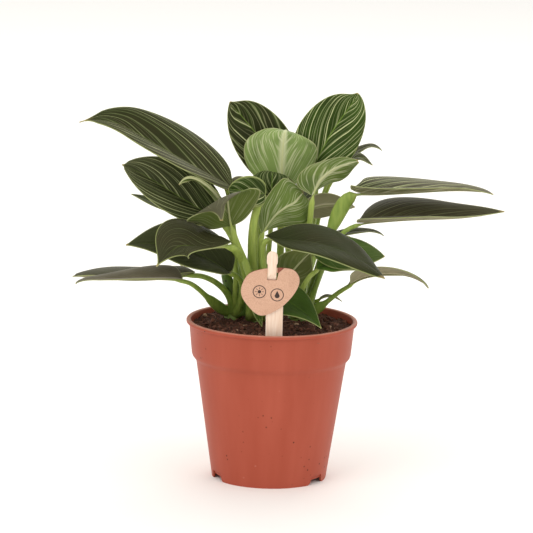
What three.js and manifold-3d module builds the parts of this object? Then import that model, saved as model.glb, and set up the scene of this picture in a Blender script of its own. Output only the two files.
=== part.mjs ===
// Potted pinstripe philodendron in a 12 cm nursery pot, with a wooden plant tag.
// Millimetres, +Z up. The origin is on the pot's axis, at the ground it stands on.
// The front of the pot faces -Y and the plant's right is +X.
import * as THREE from 'three';
import { mergeVertices } from 'three/addons/utils/BufferGeometryUtils.js';
import Module from 'manifold-3d';

const wasm = await Module();
wasm.setup();

// Pot: a moulded nursery pot with a rolled lip, a collar and three feet.
const POT_HEIGHT = 112.5;
const LIP_RADIUS = 60;
const LIP_HEIGHT = 2.8;
const COLLAR_TOP_RADIUS = 58;
const COLLAR_LOW_RADIUS = 55.8;
const COLLAR_DEPTH = 25;
const LEDGE_RADIUS = 54.9;
const LEDGE_DEPTH = 26.4;
const STEP_DEPTH = 29;
const BODY_TOP_RADIUS = 52.7;
const BODY_LOW_RADIUS = 40.2;
const WALL = 1.2;
const PLATE_UNDERSIDE = 3.5;
const PLATE_THICKNESS = 1.6;
const PAD_RADIUS = 8;
const PAD_DRAFT = 1;
const DRAIN_HOLES = 6;
const DRAIN_HOLE_RADIUS = 3.5;
const DRAIN_HOLE_SIDES = 12;
const DRILL_LENGTH = 10;
const DRAIN_RING_RADIUS = 25;
const NOTCHES = 3;
const NOTCH_WIDTH = 12;
const NOTCH_HEIGHT = 6;
const NOTCH_FLARE = 4;
const NOTCH_BELOW = 1;
const NOTCH_FROM_RADIUS = 36;
const NOTCH_CUT = 10;
const FIRST_NOTCH_ANGLE = 55.5;
const POT_SEGMENTS = 48;

// The clearance between two pieces that touch, and the distance at which two places are one.
const GAP = 0.3;
const SAME_PLACE = 1e-4;

// Soil: peat that fills the pot to a few millimetres below its lip, highest round the crowns and
// at the back left of the lip.
const SOIL_EDGE_DEPTH = 5.5;
const SOIL_SLACK = 0.2;
const SOIL_RINGS = [50, 36, 20];
const SOIL_MOUNDS = [
  { place: [0, 12], rise: 2.5, spread: 30 },
  { place: [-40, 28], rise: 2, spread: 20 },
];
const SOIL_RIPPLE_HEIGHT = 0.5;
const SOIL_RIPPLE_PITCH = [40, 33];

// Crowns: the short stocks that the petioles grow from, each in a plain hole in the soil.
const CROWN_FOOT = 92;
const CROWN_TOP = 114;
const CROWNS = {
  left: { place: [-27, 20], radii: [8.5, 6.5] },
  middle: { place: [-9, 9], radii: [9, 7] },
  right: { place: [19, 18], radii: [9, 7.5] },
};
const CROWN_SIDES = 12;

// Blades and petioles.
const BLADE_THICKNESS = 0.8;
const TIP_HALF_WIDTH = 0.5;
const HOOK_START = 0.7;
const BLADE_ROWS = 10;
const BLADE_COLUMNS = 4;
const NARROW_BLADE = 20;
const PETIOLE_SIDES = 6;
const PETIOLE_STEPS = 7;
const PETIOLE_END_ROUNDS = 3;
const NET_BASE_CLEAR = 1.8;

// Most leaves: the midrib passes through four points, base to tip, and the upper face looks along
// face[0] at the base and along face[1] at the tip. halves are the widths left and right of the
// midrib, and folds the angles, in degrees, that the left and the right half rise at, each at the
// base and at the tip. taper is the fullness towards the base and the tip, and a low number is
// full. sweep is how far the lobes reach back past the petiole, as a share of the length, and hook
// is how far the tip bends down. A leaf with a twisted blade has a net instead: rows of places from
// base to tip, each with its left edge, its midrib and its right edge.
// The petiole passes through its own points and ends under the base of the midrib.
const LEAVES = [
  { name: 'left_long', crown: 'left', halves: [26, 28],
    folds: [[15, 15], [10, 35]], taper: [0.65, 1.1], sweep: 0.02, hook: 15,
    midrib: [[-31, 1, 206], [-59, -1, 221], [-98, 0, 243], [-129, -3, 260]],
    face: [[0.7, -0.2, 0.7], [0.1, -0.5, 0.9]],
    petiole: [[-27, 17, 112], [-25, 13, 141], [-29, 8, 178]], radii: [2.6, 2] },
  { name: 'left_middle', crown: 'left', halves: [23, 23],
    folds: [[30, 25], [20, 20]], taper: [0.8, 1], sweep: 0.02,
    midrib: [[-36, 8, 182], [-60, 6, 193], [-85, 7, 208], [-107, 11, 218]],
    face: [[0.4, -0.8, 0.5], [0.4, -0.8, 0.3]],
    petiole: [[-25, 16, 112], [-21, 6, 136], [-25, 5, 159]], radii: [2.6, 2] },
  { name: 'left_sliver', crown: 'left', halves: [7, 7],
    folds: [[10, 10], [10, 10]], taper: [0.5, 0.9], sweep: 0.05,
    midrib: [[-55, 26, 176], [-72, 28, 183], [-88, 30, 189], [-101, 30, 194]],
    face: [[0.3, -0.3, 0.9], [0.3, -0.3, 0.9]],
    petiole: [[-28, 22, 112], [-24, 16, 131], [-33, 20, 157]], radii: [2.4, 1.4] },
  { name: 'left_hooded', crown: 'middle', net: [
    [[-29, -22, 182], [-30, -22, 182], [-32, -22, 182]],
    [[-20, -24, 188], [-31, -28, 190], [-44, -24, 180]],
    [[-13, -29, 199], [-32, -36, 199], [-53, -34, 186]],
    [[-10, -37, 210], [-33, -44, 207], [-60, -44, 189]],
    [[-19, -43, 212], [-33, -51, 206], [-54, -48, 194]],
    [[-32, -50, 205], [-36, -55, 202], [-44, -51, 197]],
    [[-34, -54, 199], [-36, -56, 198], [-39, -54, 195]],
    [[-35, -57, 192], [-36, -57, 192], [-37, -57, 192]],
  ],
    petiole: [[-14, 6, 112], [-14, -18, 140], [-21, -24, 160]], radii: [3, 2.3] },
  { name: 'left_curled', crown: 'left', halves: [2, 10],
    folds: [[15, 15], [25, 25]], taper: [0.4, 0.9], sweep: 0.05,
    midrib: [[-36, -24, 198], [-44, -30, 209], [-56, -33, 217], [-66, -32, 212]],
    face: [[0, 0.4, 0.8], [0.5, 0.8, 0.3]],
    petiole: [[-27, 18, 112], [-26, 4, 139], [-28, -8, 169]], radii: [2, 1.3] },
  { name: 'centre_arched', crown: 'middle', halves: [12, 11],
    folds: [[10, 10], [5, 10]], taper: [0.5, 0.8], sweep: 0.05,
    midrib: [[-7, -16, 204], [-16, -19, 206], [-25, -19, 207], [-32, -16, 207]],
    face: [[0.6, -0.7, 0.3], [-0.2, -0.9, 0.4]],
    petiole: [[-12, 7, 112], [-14, -9, 145], [-15, -16, 177]], radii: [3.4, 2.6] },
  { name: 'centre_lobe', crown: 'middle', halves: [6, 6],
    folds: [[10, 10], [10, 10]], taper: [0.5, 0.9], sweep: 0,
    midrib: [[-13, 8, 202], [-21, 9, 206], [-27, 9, 208], [-31, 9, 207]],
    face: [[-0.1, -0.6, 0.8], [-0.1, -0.6, 0.8]],
    petiole: [[-11, 8, 112], [-11, 3, 144], [-12, 5, 166]], radii: [2, 1.4] },
  { name: 'centre_inner', crown: 'middle', halves: [18, 18],
    folds: [[5, 5], [5, 5]], taper: [0.5, 0.7], sweep: 0.03,
    midrib: [[-2, 18, 184], [-2, 17, 197], [-2, 18, 208], [-1, 22, 213]],
    face: [[0, -0.9, 0.4], [0, -0.5, 0.9]],
    petiole: [[-5, 12, 112], [-5, 16, 135], [-3, 18, 161]], radii: [2.2, 1.6] },
  { name: 'centre_lower', crown: 'middle', net: [
    [[-6, -9, 177], [-8, -9, 175], [-9, -9, 176]],
    [[3, 0, 178], [-4, -6, 181], [-11, -2, 182]],
    [[13, 4, 179], [1, -2, 187], [-10, 3, 192]],
    [[22, 7, 180], [8, 1, 192], [-5, 6, 199]],
    [[25, 9, 187], [14, 4, 195], [1, 8, 207]],
    [[26, 10, 193], [17, 7, 198], [8, 11, 211]],
    [[20, 10, 200], [20, 10, 201], [20, 10, 202]],
  ],
    petiole: [[-8, 8, 112], [-8, -2, 137], [-9, -8, 160]], radii: [2.4, 1.8] },
  { name: 'centre_round', crown: 'middle', halves: [25, 28],
    folds: [[15, 5], [15, 5]], taper: [0.5, 0.9], sweep: 0.02, hook: -3,
    midrib: [[5, 30, 201], [5, 26, 226], [6, 29, 239], [8, 39, 243]],
    face: [[0, 0.8, -0.4], [0, 0.7, -0.7]],
    petiole: [[-4, 12, 112], [4, 24, 137], [5, 28, 170]], radii: [2.8, 2.4] },
  { name: 'top_left', crown: 'middle', halves: [21, 20],
    folds: [[10, 25], [10, 10]], taper: [0.35, 0.9], sweep: 0.03, hook: 2,
    midrib: [[5, 44, 209], [-13, 48, 235], [-26, 49, 250], [-32, 47, 258]],
    face: [[0, -0.9, 0.3], [0.1, -0.8, 0.3]],
    petiole: [[-9, 13, 112], [-12, 36, 142], [-9, 43, 180]], radii: [2.6, 2] },
  { name: 'top_right', crown: 'right', halves: [23, 22],
    folds: [[10, 15], [15, 10]], taper: [0.3, 0.8], sweep: 0.03, hook: 2,
    midrib: [[29, 37, 218], [40, 42, 240], [51, 46, 256], [57, 45, 266]],
    face: [[0, -0.9, 0.3], [0.2, -1, 0.2]],
    petiole: [[19, 20, 112], [24, 32, 144], [28, 36, 182]], radii: [2.6, 2] },
  { name: 'right_folded', crown: 'right', net: [
    [[27, 1, 202], [26, 0, 201], [24, 1, 202]],
    [[32, 8, 205], [29, 3, 206], [16, 8, 206]],
    [[40, 13, 208], [32, 6, 211], [17, 11, 214]],
    [[46, 17, 209], [38, 10, 216], [25, 14, 220]],
    [[51, 20, 212], [44, 14, 219], [35, 18, 223]],
    [[55, 22, 217], [51, 18, 221], [46, 22, 225]],
    [[59, 24, 221], [58, 24, 222], [58, 24, 223]],
  ],
    petiole: [[17, 17, 112], [19, 14, 136], [24, 8, 169]], radii: [2.6, 2] },
  { name: 'right_tip_low', crown: 'right', halves: [6, 6],
    folds: [[5, 10], [10, 10]], taper: [0.5, 0.9], sweep: 0.05,
    midrib: [[50, 53, 214], [57, 49, 220], [62, 48, 220], [69, 50, 215]],
    face: [[-0.5, -0.2, 0.9], [0.6, -0.4, 0.7]],
    petiole: [[21, 22, 112], [27, 42, 143], [34, 49, 187]], radii: [2, 1.2] },
  { name: 'right_tip_high', crown: 'right', halves: [6, 7],
    folds: [[10, 10], [5, 10]], taper: [0.5, 0.9], sweep: 0.05,
    midrib: [[43, 62, 212], [58, 65, 222], [68, 66, 226], [76, 66, 223]],
    face: [[-0.6, -0.1, 0.8], [0.5, -0.1, 0.8]],
    petiole: [[20, 22, 112], [25, 48, 143], [33, 60, 185]], radii: [2, 1.2] },
  { name: 'middle_underside', crown: 'middle', halves: [14, 14],
    folds: [[10, 10], [10, 10]], taper: [0.5, 0.9], sweep: 0.02,
    midrib: [[7, -3, 140], [14, -3, 148], [20, -3, 155], [26, -3, 161]],
    face: [[0, 1, -0.1], [-0.3, 0.9, -0.4]],
    petiole: [[-5, 6, 112], [2, 1, 122], [5, -4, 134]], radii: [2.4, 1.8] },
  { name: 'right_upper', crown: 'right', halves: [25, 17],
    folds: [[20, 10], [30, 5]], taper: [0.4, 0.8], sweep: 0.03, hook: 2,
    midrib: [[56, 10, 203], [80, 4, 203], [118, -3, 207], [152, -11, 208]],
    face: [[0.2, -0.1, 0.7], [0, 0.1, 1]],
    petiole: [[22, 16, 112], [31, 14, 143], [42, 12, 181]], radii: [4, 2.4] },
  { name: 'right_lower', crown: 'right', halves: [27, 17],
    folds: [[15, 30], [20, 25]], taper: [0.5, 0.9], sweep: 0.02, hook: -8,
    midrib: [[60, 3, 182], [81, 1, 184], [114, 1, 186], [160, -1, 185]],
    face: [[-0.1, 0, 1], [-0.2, -0.2, 0.9]],
    petiole: [[22, 15, 112], [32, 8, 140], [43, 6, 167]], radii: [2.6, 1.6] },
  { name: 'right_behind', crown: 'right', halves: [9, 9],
    folds: [[10, 10], [10, 10]], taper: [0.5, 0.9], sweep: 0.05,
    midrib: [[24, 24, 186], [34, 28, 189], [45, 32, 189], [57, 36, 187]],
    face: [[-0.6, 0.8, -0.2], [-0.5, 0.9, 0.1]],
    petiole: [[19, 22, 112], [21, 25, 135], [21, 22, 165]], radii: [2.2, 1.5] },
  { name: 'front_right', crown: 'middle', halves: [25, 22],
    folds: [[30, -20], [20, -10]], taper: [1.2, 0.7], sweep: 0,
    midrib: [[-6, -34, 178], [16, -41, 176], [43, -56, 174], [76, -77, 158]],
    face: [[-0.3, -0.3, 0.9], [0.5, -0.2, 0.6]],
    petiole: [[-6, 5, 112], [-5, -14, 136], [-7, -24, 160]], radii: [2.6, 2] },
  { name: 'front_right_second', crown: 'right', halves: [15, 15],
    folds: [[10, 10], [5, 5]], taper: [0.5, 0.9], sweep: 0.05,
    midrib: [[32, 0, 165], [50, -10, 161], [65, -20, 161], [77, -28, 164]],
    face: [[-0.3, -0.5, 0.8], [-0.2, -0.4, 0.8]],
    petiole: [[18, 15, 112], [19, 10, 136], [24, 6, 154]], radii: [2.2, 1.6] },
  { name: 'right_small', crown: 'right', halves: [7, 7],
    folds: [[10, 10], [10, 10]], taper: [0.5, 0.9], sweep: 0.05, hook: 2,
    midrib: [[33, 23, 165], [51, 24, 170], [66, 24, 172], [78, 23, 171]],
    face: [[-0.5, -0.1, 0.9], [0.4, -0.1, 0.9]],
    petiole: [[20, 21, 112], [23, 24, 134], [27, 24, 156]], radii: [2, 1.2] },
  { name: 'right_bright', crown: 'right', halves: [12, 12],
    folds: [[10, 10], [10, 10]], taper: [0.8, 0.9], sweep: 0.02,
    midrib: [[31, -10, 151], [41, -10, 155], [51, -12, 155], [62, -14, 152]],
    face: [[-0.3, -0.4, 0.8], [0.1, -0.5, 0.9]],
    petiole: [[17, 14, 112], [18, -6, 127], [23, -12, 142]], radii: [2.2, 1.6] },
  { name: 'right_arching', crown: 'right', halves: [15, 16],
    folds: [[15, 0], [10, 5]], taper: [0.4, 0.6], sweep: 0.03, hook: 2,
    midrib: [[55, 1, 139], [70, 0, 145], [91, -5, 147], [110, -4, 139]],
    face: [[0.1, 0.3, 0.7], [0.6, 0.1, 0.8]],
    petiole: [[22, 16, 112], [35, 8, 121], [45, 6, 130]], radii: [2.2, 1.6] },
  { name: 'right_withered', crown: 'right', halves: [4, 4],
    folds: [[10, 10], [10, 10]], taper: [0.5, 0.9], sweep: 0,
    midrib: [[33, 18, 124], [38, 17, 126], [43, 16, 126], [49, 15, 123]],
    face: [[-0.3, 0, 0.9], [0.7, 0, 0.7]],
    petiole: [[22, 20, 112], [25, 21, 117], [29, 20, 121]], radii: [1.8, 1.2] },
  { name: 'front_low', crown: 'middle', halves: [14, 17],
    folds: [[10, 5], [5, 15]], taper: [0.7, 1.1], sweep: 0.02,
    midrib: [[-2, -24, 138], [9, -28, 132], [21, -36, 126], [34, -46, 116]],
    face: [[-0.1, -0.6, 0.8], [0.6, -0.7, 0.5]],
    petiole: [[-6, 5, 112], [-3, -10, 122], [-2, -18, 133]], radii: [2.2, 1.6] },
  { name: 'front_sprout', crown: 'middle', halves: [3.2, 3.2],
    folds: [[10, 10], [10, 10]], taper: [0.5, 0.9], sweep: 0,
    midrib: [[-11, -24, 131], [-11, -26, 125], [-9, -28, 119], [-7, -30, 113]],
    face: [[0, -1, 0.3], [0, -0.9, 0.3]],
    petiole: [[-10, 5, 112], [-11, -8, 120], [-11, -18, 128]], radii: [1.8, 1.2] },
  { name: 'front_left', crown: 'middle', halves: [21, 30],
    folds: [[20, 10], [0, 10]], taper: [0.9, 1.3], sweep: 0, hook: -5,
    midrib: [[-29, -49, 176], [-53, -50, 172], [-66, -52, 172], [-78, -66, 158]],
    face: [[0.5, -0.1, 0.9], [-0.2, -0.4, 0.2]],
    petiole: [[-14, 8, 112], [-17, -8, 138], [-22, -22, 158]], radii: [3.4, 2.4] },
  { name: 'left_low', crown: 'left', halves: [24, 25],
    folds: [[15, 5], [15, 15]], taper: [0.6, 1.1], sweep: 0.03,
    midrib: [[-31, -18, 149], [-53, -17, 161], [-76, -22, 168], [-102, -32, 169]],
    face: [[0.5, -0.3, 0.7], [-0.1, -0.6, 0.8]],
    petiole: [[-25, 17, 112], [-21, 2, 131], [-24, -8, 143]], radii: [2.4, 1.8] },
  { name: 'left_flat_upper', crown: 'left', halves: [9, 20],
    folds: [[30, 15], [20, 15]], taper: [0.6, 0.7], sweep: 0.02, hook: 2,
    midrib: [[-56, 1, 144], [-88, -6, 140], [-116, -11, 141], [-139, -16, 145]],
    face: [[0, 0, 1], [-0.3, 0, 0.9]],
    petiole: [[-28, 18, 112], [-33, 8, 130], [-45, 2, 140]], radii: [2.6, 1.9] },
  { name: 'left_flat_lower', crown: 'left', halves: [9, 14],
    folds: [[20, 0], [30, 0]], taper: [0.4, 1.1], sweep: 0.02, hook: 5,
    midrib: [[-64, -22, 144], [-94, -25, 144], [-121, -30, 144], [-136, -38, 147]],
    face: [[0.2, -0.1, 0.9], [-0.3, 0, 0.9]],
    petiole: [[-30, 20, 112], [-42, 3, 123], [-53, -11, 136]], radii: [2.4, 1.6] },
  { name: 'back_right', crown: 'right', halves: [17, 17],
    folds: [[15, 15], [15, 15]], taper: [0.5, 0.9], sweep: 0.04,
    midrib: [[30, 54, 152], [38, 68, 155], [45, 84, 150], [51, 99, 138]],
    face: [[-0.5, -0.4, 1], [0.3, 0.4, 1]],
    petiole: [[20, 22, 112], [23, 38, 127], [27, 46, 141]], radii: [2.6, 1.8] },
  { name: 'back_left', crown: 'left', halves: [21, 21],
    folds: [[15, 15], [15, 15]], taper: [0.5, 0.9], sweep: 0.04,
    midrib: [[-40, 46, 144], [-50, 61, 147], [-59, 77, 143], [-66, 92, 131]],
    face: [[0.5, -0.4, 1], [-0.3, 0.4, 1]],
    petiole: [[-28, 23, 112], [-28, 34, 123], [-33, 41, 136]], radii: [2.6, 1.8] },
  { name: 'back_high', crown: 'right', halves: [22, 22],
    folds: [[15, 15], [15, 15]], taper: [0.5, 0.9], sweep: 0.04,
    midrib: [[8, 58, 178], [8, 78, 188], [9, 98, 188], [11, 116, 176]],
    face: [[0, -0.5, 1], [0, 0.5, 1]],
    petiole: [[16, 21, 112], [13, 38, 132], [10, 50, 158]], radii: [2.6, 1.8] },
  { name: 'back_low', crown: 'right', halves: [14, 14],
    folds: [[15, 15], [15, 15]], taper: [0.5, 0.9], sweep: 0.04,
    midrib: [[14, 56, 138], [15, 71, 141], [17, 86, 136], [19, 99, 123]],
    face: [[0, -0.4, 1], [0.1, 0.6, 1]],
    petiole: [[17, 23, 112], [17, 36, 118], [15, 47, 128]], radii: [2.4, 1.6] },
];

// The scarred stock of the left plant, which the lowest petioles leave.
const STOCK = [[-22, 18, 112], [-24, 17, 120], [-29, 15, 130], [-33, 14, 141]];
const STOCK_RADII = [6.5, 3.5];

// Tag: a wooden stake whose narrow tongue comes forward through a slot in a pebble-shaped disc.
// These places are in the tag's own frame, with its origin where the stake enters the soil.
const TAG_PLACE = [1.5, -48.5, 107];
const TAG_LEAN = 3.5;
const STAKE_WIDTH = 11.7;
const STAKE_THICKNESS = 1.4;
const STAKE_DEPTH = 38;
const STAKE_POINT = 8;
const STAKE_POINT_WIDTH = 3;
const SHOULDER_HEIGHT = 42.5;
const SHOULDER_CHAMFER = 0.4;
const NECK_WIDTH = 6.1;
const NECK_ASIDE = -2.2;
const TONGUE_WIDTH = 7.5;
const TONGUE_FORWARD = 3;
const TONGUE_START = 44.5;
const TONGUE_CLEAR = 48.5;
const TONGUE_WIDENS = 55;
const TONGUE_FLARE = 1.5;
const TONGUE_TOP = 64.5;
// How far below the top of the tongue its round end has each share of the full width.
const TONGUE_ROUND = [[3.6, 1], [1.6, 0.8], [0, 0.4]];
const HOLE_ABOVE_SOIL = 20;
const DISC_THICKNESS = 1;
const DISC_FORWARD = 1.5;
const SLOT_WIDTH = 6.9;
const SLOT_FROM = 43.9;
const SLOT_TO = 49.2;
const SLIT_WIDTH = 1;
const DISC_OUTLINE = [[-23.3, 35], [-18.8, 47.2], [-8.5, 51.6], [9, 52.3], [13.5, 50.6],
  [16.7, 45.2], [15, 37.4], [4.4, 24.6], [-9.5, 18.6], [-18.3, 25.3]];
const DISC_SEGMENTS = 40;

const paint = (color, roughness) => new THREE.MeshStandardMaterial({ color, roughness, metalness: 0 });
const materials = {
  pot: paint('#b85c45', 0.5),
  soil: paint('#2f211b', 1),
  petiole: paint('#879a45', 0.5),
  blade: paint('#3a4a2c', 0.4),
  wood: paint('#e8c9b0', 0.8),
  disc: paint('#e6c0a6', 0.85),
};

const toVector = (place) => new THREE.Vector3(...place);

// A closed geometry becomes a solid that can be joined and cut.
function toSolid(geometry) {
  geometry.deleteAttribute('normal');
  geometry.deleteAttribute('uv');
  const merged = mergeVertices(geometry, SAME_PLACE);
  const vertProperties = new Float32Array(merged.attributes.position.array);
  const triVerts = new Uint32Array(merged.index.array);
  return new wasm.Manifold(new wasm.Mesh({ numProp: 3, vertProperties, triVerts }));
}

function toGeometry(solid) {
  const mesh = solid.getMesh();
  const geometry = new THREE.BufferGeometry();
  geometry.setAttribute('position', new THREE.BufferAttribute(mesh.vertProperties, 3));
  geometry.setIndex(new THREE.BufferAttribute(mesh.triVerts, 1));
  return geometry;
}

// The cubic through four points, at 0, 1/3, 2/3 and 1 of its run.
function alongCubic(points, t) {
  const weights = [
    (1 - t) * (1 - 3 * t) * (2 - 3 * t) / 2,
    9 * t * (1 - t) * (2 - 3 * t) / 2,
    9 * t * (1 - t) * (3 * t - 1) / 2,
    t * (3 * t - 1) * (3 * t - 2) / 2,
  ];
  const place = new THREE.Vector3();
  points.forEach((point, index) => place.addScaledVector(point, weights[index]));
  return place;
}

function directionAt(points, t) {
  const step = 1e-3;
  return alongCubic(points, t + step).sub(alongCubic(points, t - step)).normalize();
}

// The share of the full width at t, from a rounded base to a pointed tip.
function widthShare([base, tip], t) {
  const lead = 0.03;
  const widest = (base - tip * lead) / (base + tip);
  const share = (place) => (place + lead) ** base * (1 - place) ** tip;
  return share(t) / share(widest);
}

// A closed sheet from rows of places and their normals. Both faces split their cells alike.
function sheetGeometry(rows, thickness) {
  const columns = rows[0].length;
  const layer = rows.length * columns;
  const positions = [];
  for (const side of [0.5, -0.5]) {
    for (const { place, normal } of rows.flat()) {
      positions.push(...place.clone().addScaledVector(normal, side * thickness).toArray());
    }
  }
  const index = [];
  const at = (row, column) => row * columns + column;
  for (let row = 0; row < rows.length - 1; row++) {
    for (let column = 0; column < columns - 1; column++) {
      const [a, b] = [at(row, column), at(row, column + 1)];
      const [c, d] = [at(row + 1, column + 1), at(row + 1, column)];
      index.push(a, b, c, a, c, d);
      index.push(a + layer, c + layer, b + layer, a + layer, d + layer, c + layer);
    }
  }
  const rim = [];
  for (let column = 0; column < columns - 1; column++) rim.push(at(0, column));
  for (let row = 0; row < rows.length - 1; row++) rim.push(at(row, columns - 1));
  for (let column = columns - 1; column > 0; column--) rim.push(at(rows.length - 1, column));
  for (let row = rows.length - 1; row > 0; row--) rim.push(at(row, 0));
  rim.forEach((a, place) => {
    const b = rim[(place + 1) % rim.length];
    index.push(a, b + layer, b, a, a + layer, b + layer);
  });
  const geometry = new THREE.BufferGeometry();
  geometry.setAttribute('position', new THREE.Float32BufferAttribute(positions, 3));
  geometry.setIndex(index);
  return geometry;
}

// The place along a smooth line through the points, from 0 at the first to 1 at the last.
function alongLine(points, t) {
  return new THREE.CatmullRomCurve3(points, false, 'catmullrom', 0.5).getPoint(t);
}

// The place on a blade at t from base to tip and across from -1 to 1.
function bladePlace(leaf, t, across) {
  if (leaf.net) {
    const line = leaf.net.map((row) => alongLine(row.map(toVector), (across + 1) / 2));
    return alongLine(line, t);
  }
  const midrib = leaf.midrib.map(toVector);
  const forward = directionAt(midrib, t);
  const facing = toVector(leaf.face[0]).lerp(toVector(leaf.face[1]), t);
  const up = facing.addScaledVector(forward, -facing.dot(forward)).normalize();
  const right = new THREE.Vector3().crossVectors(forward, up);
  const side = across > 0 ? 1 : 0;
  const half = Math.max(leaf.halves[side] * widthShare(leaf.taper, t), TIP_HALF_WIDTH);
  const fold = THREE.MathUtils.degToRad(THREE.MathUtils.lerp(...leaf.folds[side], t));
  const droop = (leaf.hook ?? 0) * Math.max((t - HOOK_START) / (1 - HOOK_START), 0) ** 2;
  const length = midrib[0].distanceTo(midrib[3]);
  const back = leaf.sweep * length * Math.abs(across) ** 1.5 * (1 - t) ** 3;
  return alongCubic(midrib, t)
    .addScaledVector(right, across * half * Math.cos(fold))
    .addScaledVector(up, Math.abs(across) * half * Math.sin(fold) - droop)
    .addScaledVector(forward, -back);
}

// The direction that the upper face looks in at one place on the blade.
function bladeNormal(leaf, t, across) {
  const step = 0.02;
  const along = bladePlace(leaf, Math.min(t + step, 1), across)
    .sub(bladePlace(leaf, Math.max(t - step, 0), across));
  const aside = bladePlace(leaf, t, Math.min(across + step, 1))
    .sub(bladePlace(leaf, t, Math.max(across - step, -1)));
  return aside.cross(along).normalize();
}

function bladeGeometry(leaf) {
  const narrow = !leaf.net && leaf.halves[0] + leaf.halves[1] < NARROW_BLADE;
  const columns = narrow ? 2 : BLADE_COLUMNS;
  const rows = [];
  for (let row = 0; row <= BLADE_ROWS; row++) {
    const t = row / BLADE_ROWS;
    const points = [];
    for (let column = 0; column <= columns; column++) {
      const across = column / columns * 2 - 1;
      const place = bladePlace(leaf, t, across);
      points.push({ place, normal: bladeNormal(leaf, t, across) });
    }
    rows.push(points);
  }
  return sheetGeometry(rows, BLADE_THICKNESS);
}

// A tapered tube along the cubic through four points.
function tubeGeometry(points, [first, last], sides, steps) {
  const tube = new THREE.CylinderGeometry(last, first, 1, sides, steps);
  const position = tube.attributes.position;
  const across = new THREE.Vector3(0, 1, 0);
  for (let index = 0; index < position.count; index++) {
    const t = position.getY(index) + 0.5;
    const forward = directionAt(points, t);
    const side = new THREE.Vector3().crossVectors(across, forward).normalize();
    const other = new THREE.Vector3().crossVectors(forward, side);
    const place = alongCubic(points, t)
      .addScaledVector(side, position.getX(index))
      .addScaledVector(other, -position.getZ(index));
    position.setXYZ(index, ...place.toArray());
  }
  return tube;
}

// The petiole's last ring lies just under the blade, whichever way it comes to it.
function petiolePoints(leaf) {
  const points = [...leaf.petiole.map(toVector), bladePlace(leaf, 0, 0)];
  if (leaf.net) {
    const back = points[3].clone().sub(bladePlace(leaf, 0.1, 0)).normalize();
    points[3].addScaledVector(back, NET_BASE_CLEAR);
    return points;
  }
  const up = bladeNormal(leaf, 0, 0);
  const end = points[3].clone();
  for (let round = 0; round < PETIOLE_END_ROUNDS; round++) {
    const slant = directionAt(points, 1).dot(up);
    const drop = leaf.radii[1] * Math.sqrt(1 - slant ** 2) + BLADE_THICKNESS / 2 + GAP;
    points[3].copy(end).addScaledVector(up, -drop);
  }
  return points;
}

function crownGeometry({ place, radii }, extra) {
  const [low, high] = radii;
  const height = CROWN_TOP - CROWN_FOOT + extra;
  const stub = new THREE.CylinderGeometry(high + extra, low + extra, height, CROWN_SIDES);
  return stub.rotateX(Math.PI / 2).translate(...place, CROWN_FOOT + height / 2 - extra);
}

function stemsGeometry(name) {
  let solid = toSolid(crownGeometry(CROWNS[name], 0));
  for (const leaf of LEAVES.filter((each) => each.crown === name)) {
    const tube = tubeGeometry(petiolePoints(leaf), leaf.radii, PETIOLE_SIDES, PETIOLE_STEPS);
    solid = solid.add(toSolid(tube));
  }
  if (name === 'left') {
    const stock = tubeGeometry(STOCK.map(toVector), STOCK_RADII, PETIOLE_SIDES, PETIOLE_STEPS);
    solid = solid.add(toSolid(stock));
  }
  return toGeometry(solid);
}

// The wall's outer radius at a height, below the collar.
function bodyRadius(height) {
  const share = height / (POT_HEIGHT - STEP_DEPTH);
  return THREE.MathUtils.lerp(BODY_LOW_RADIUS, BODY_TOP_RADIUS, share);
}

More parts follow.
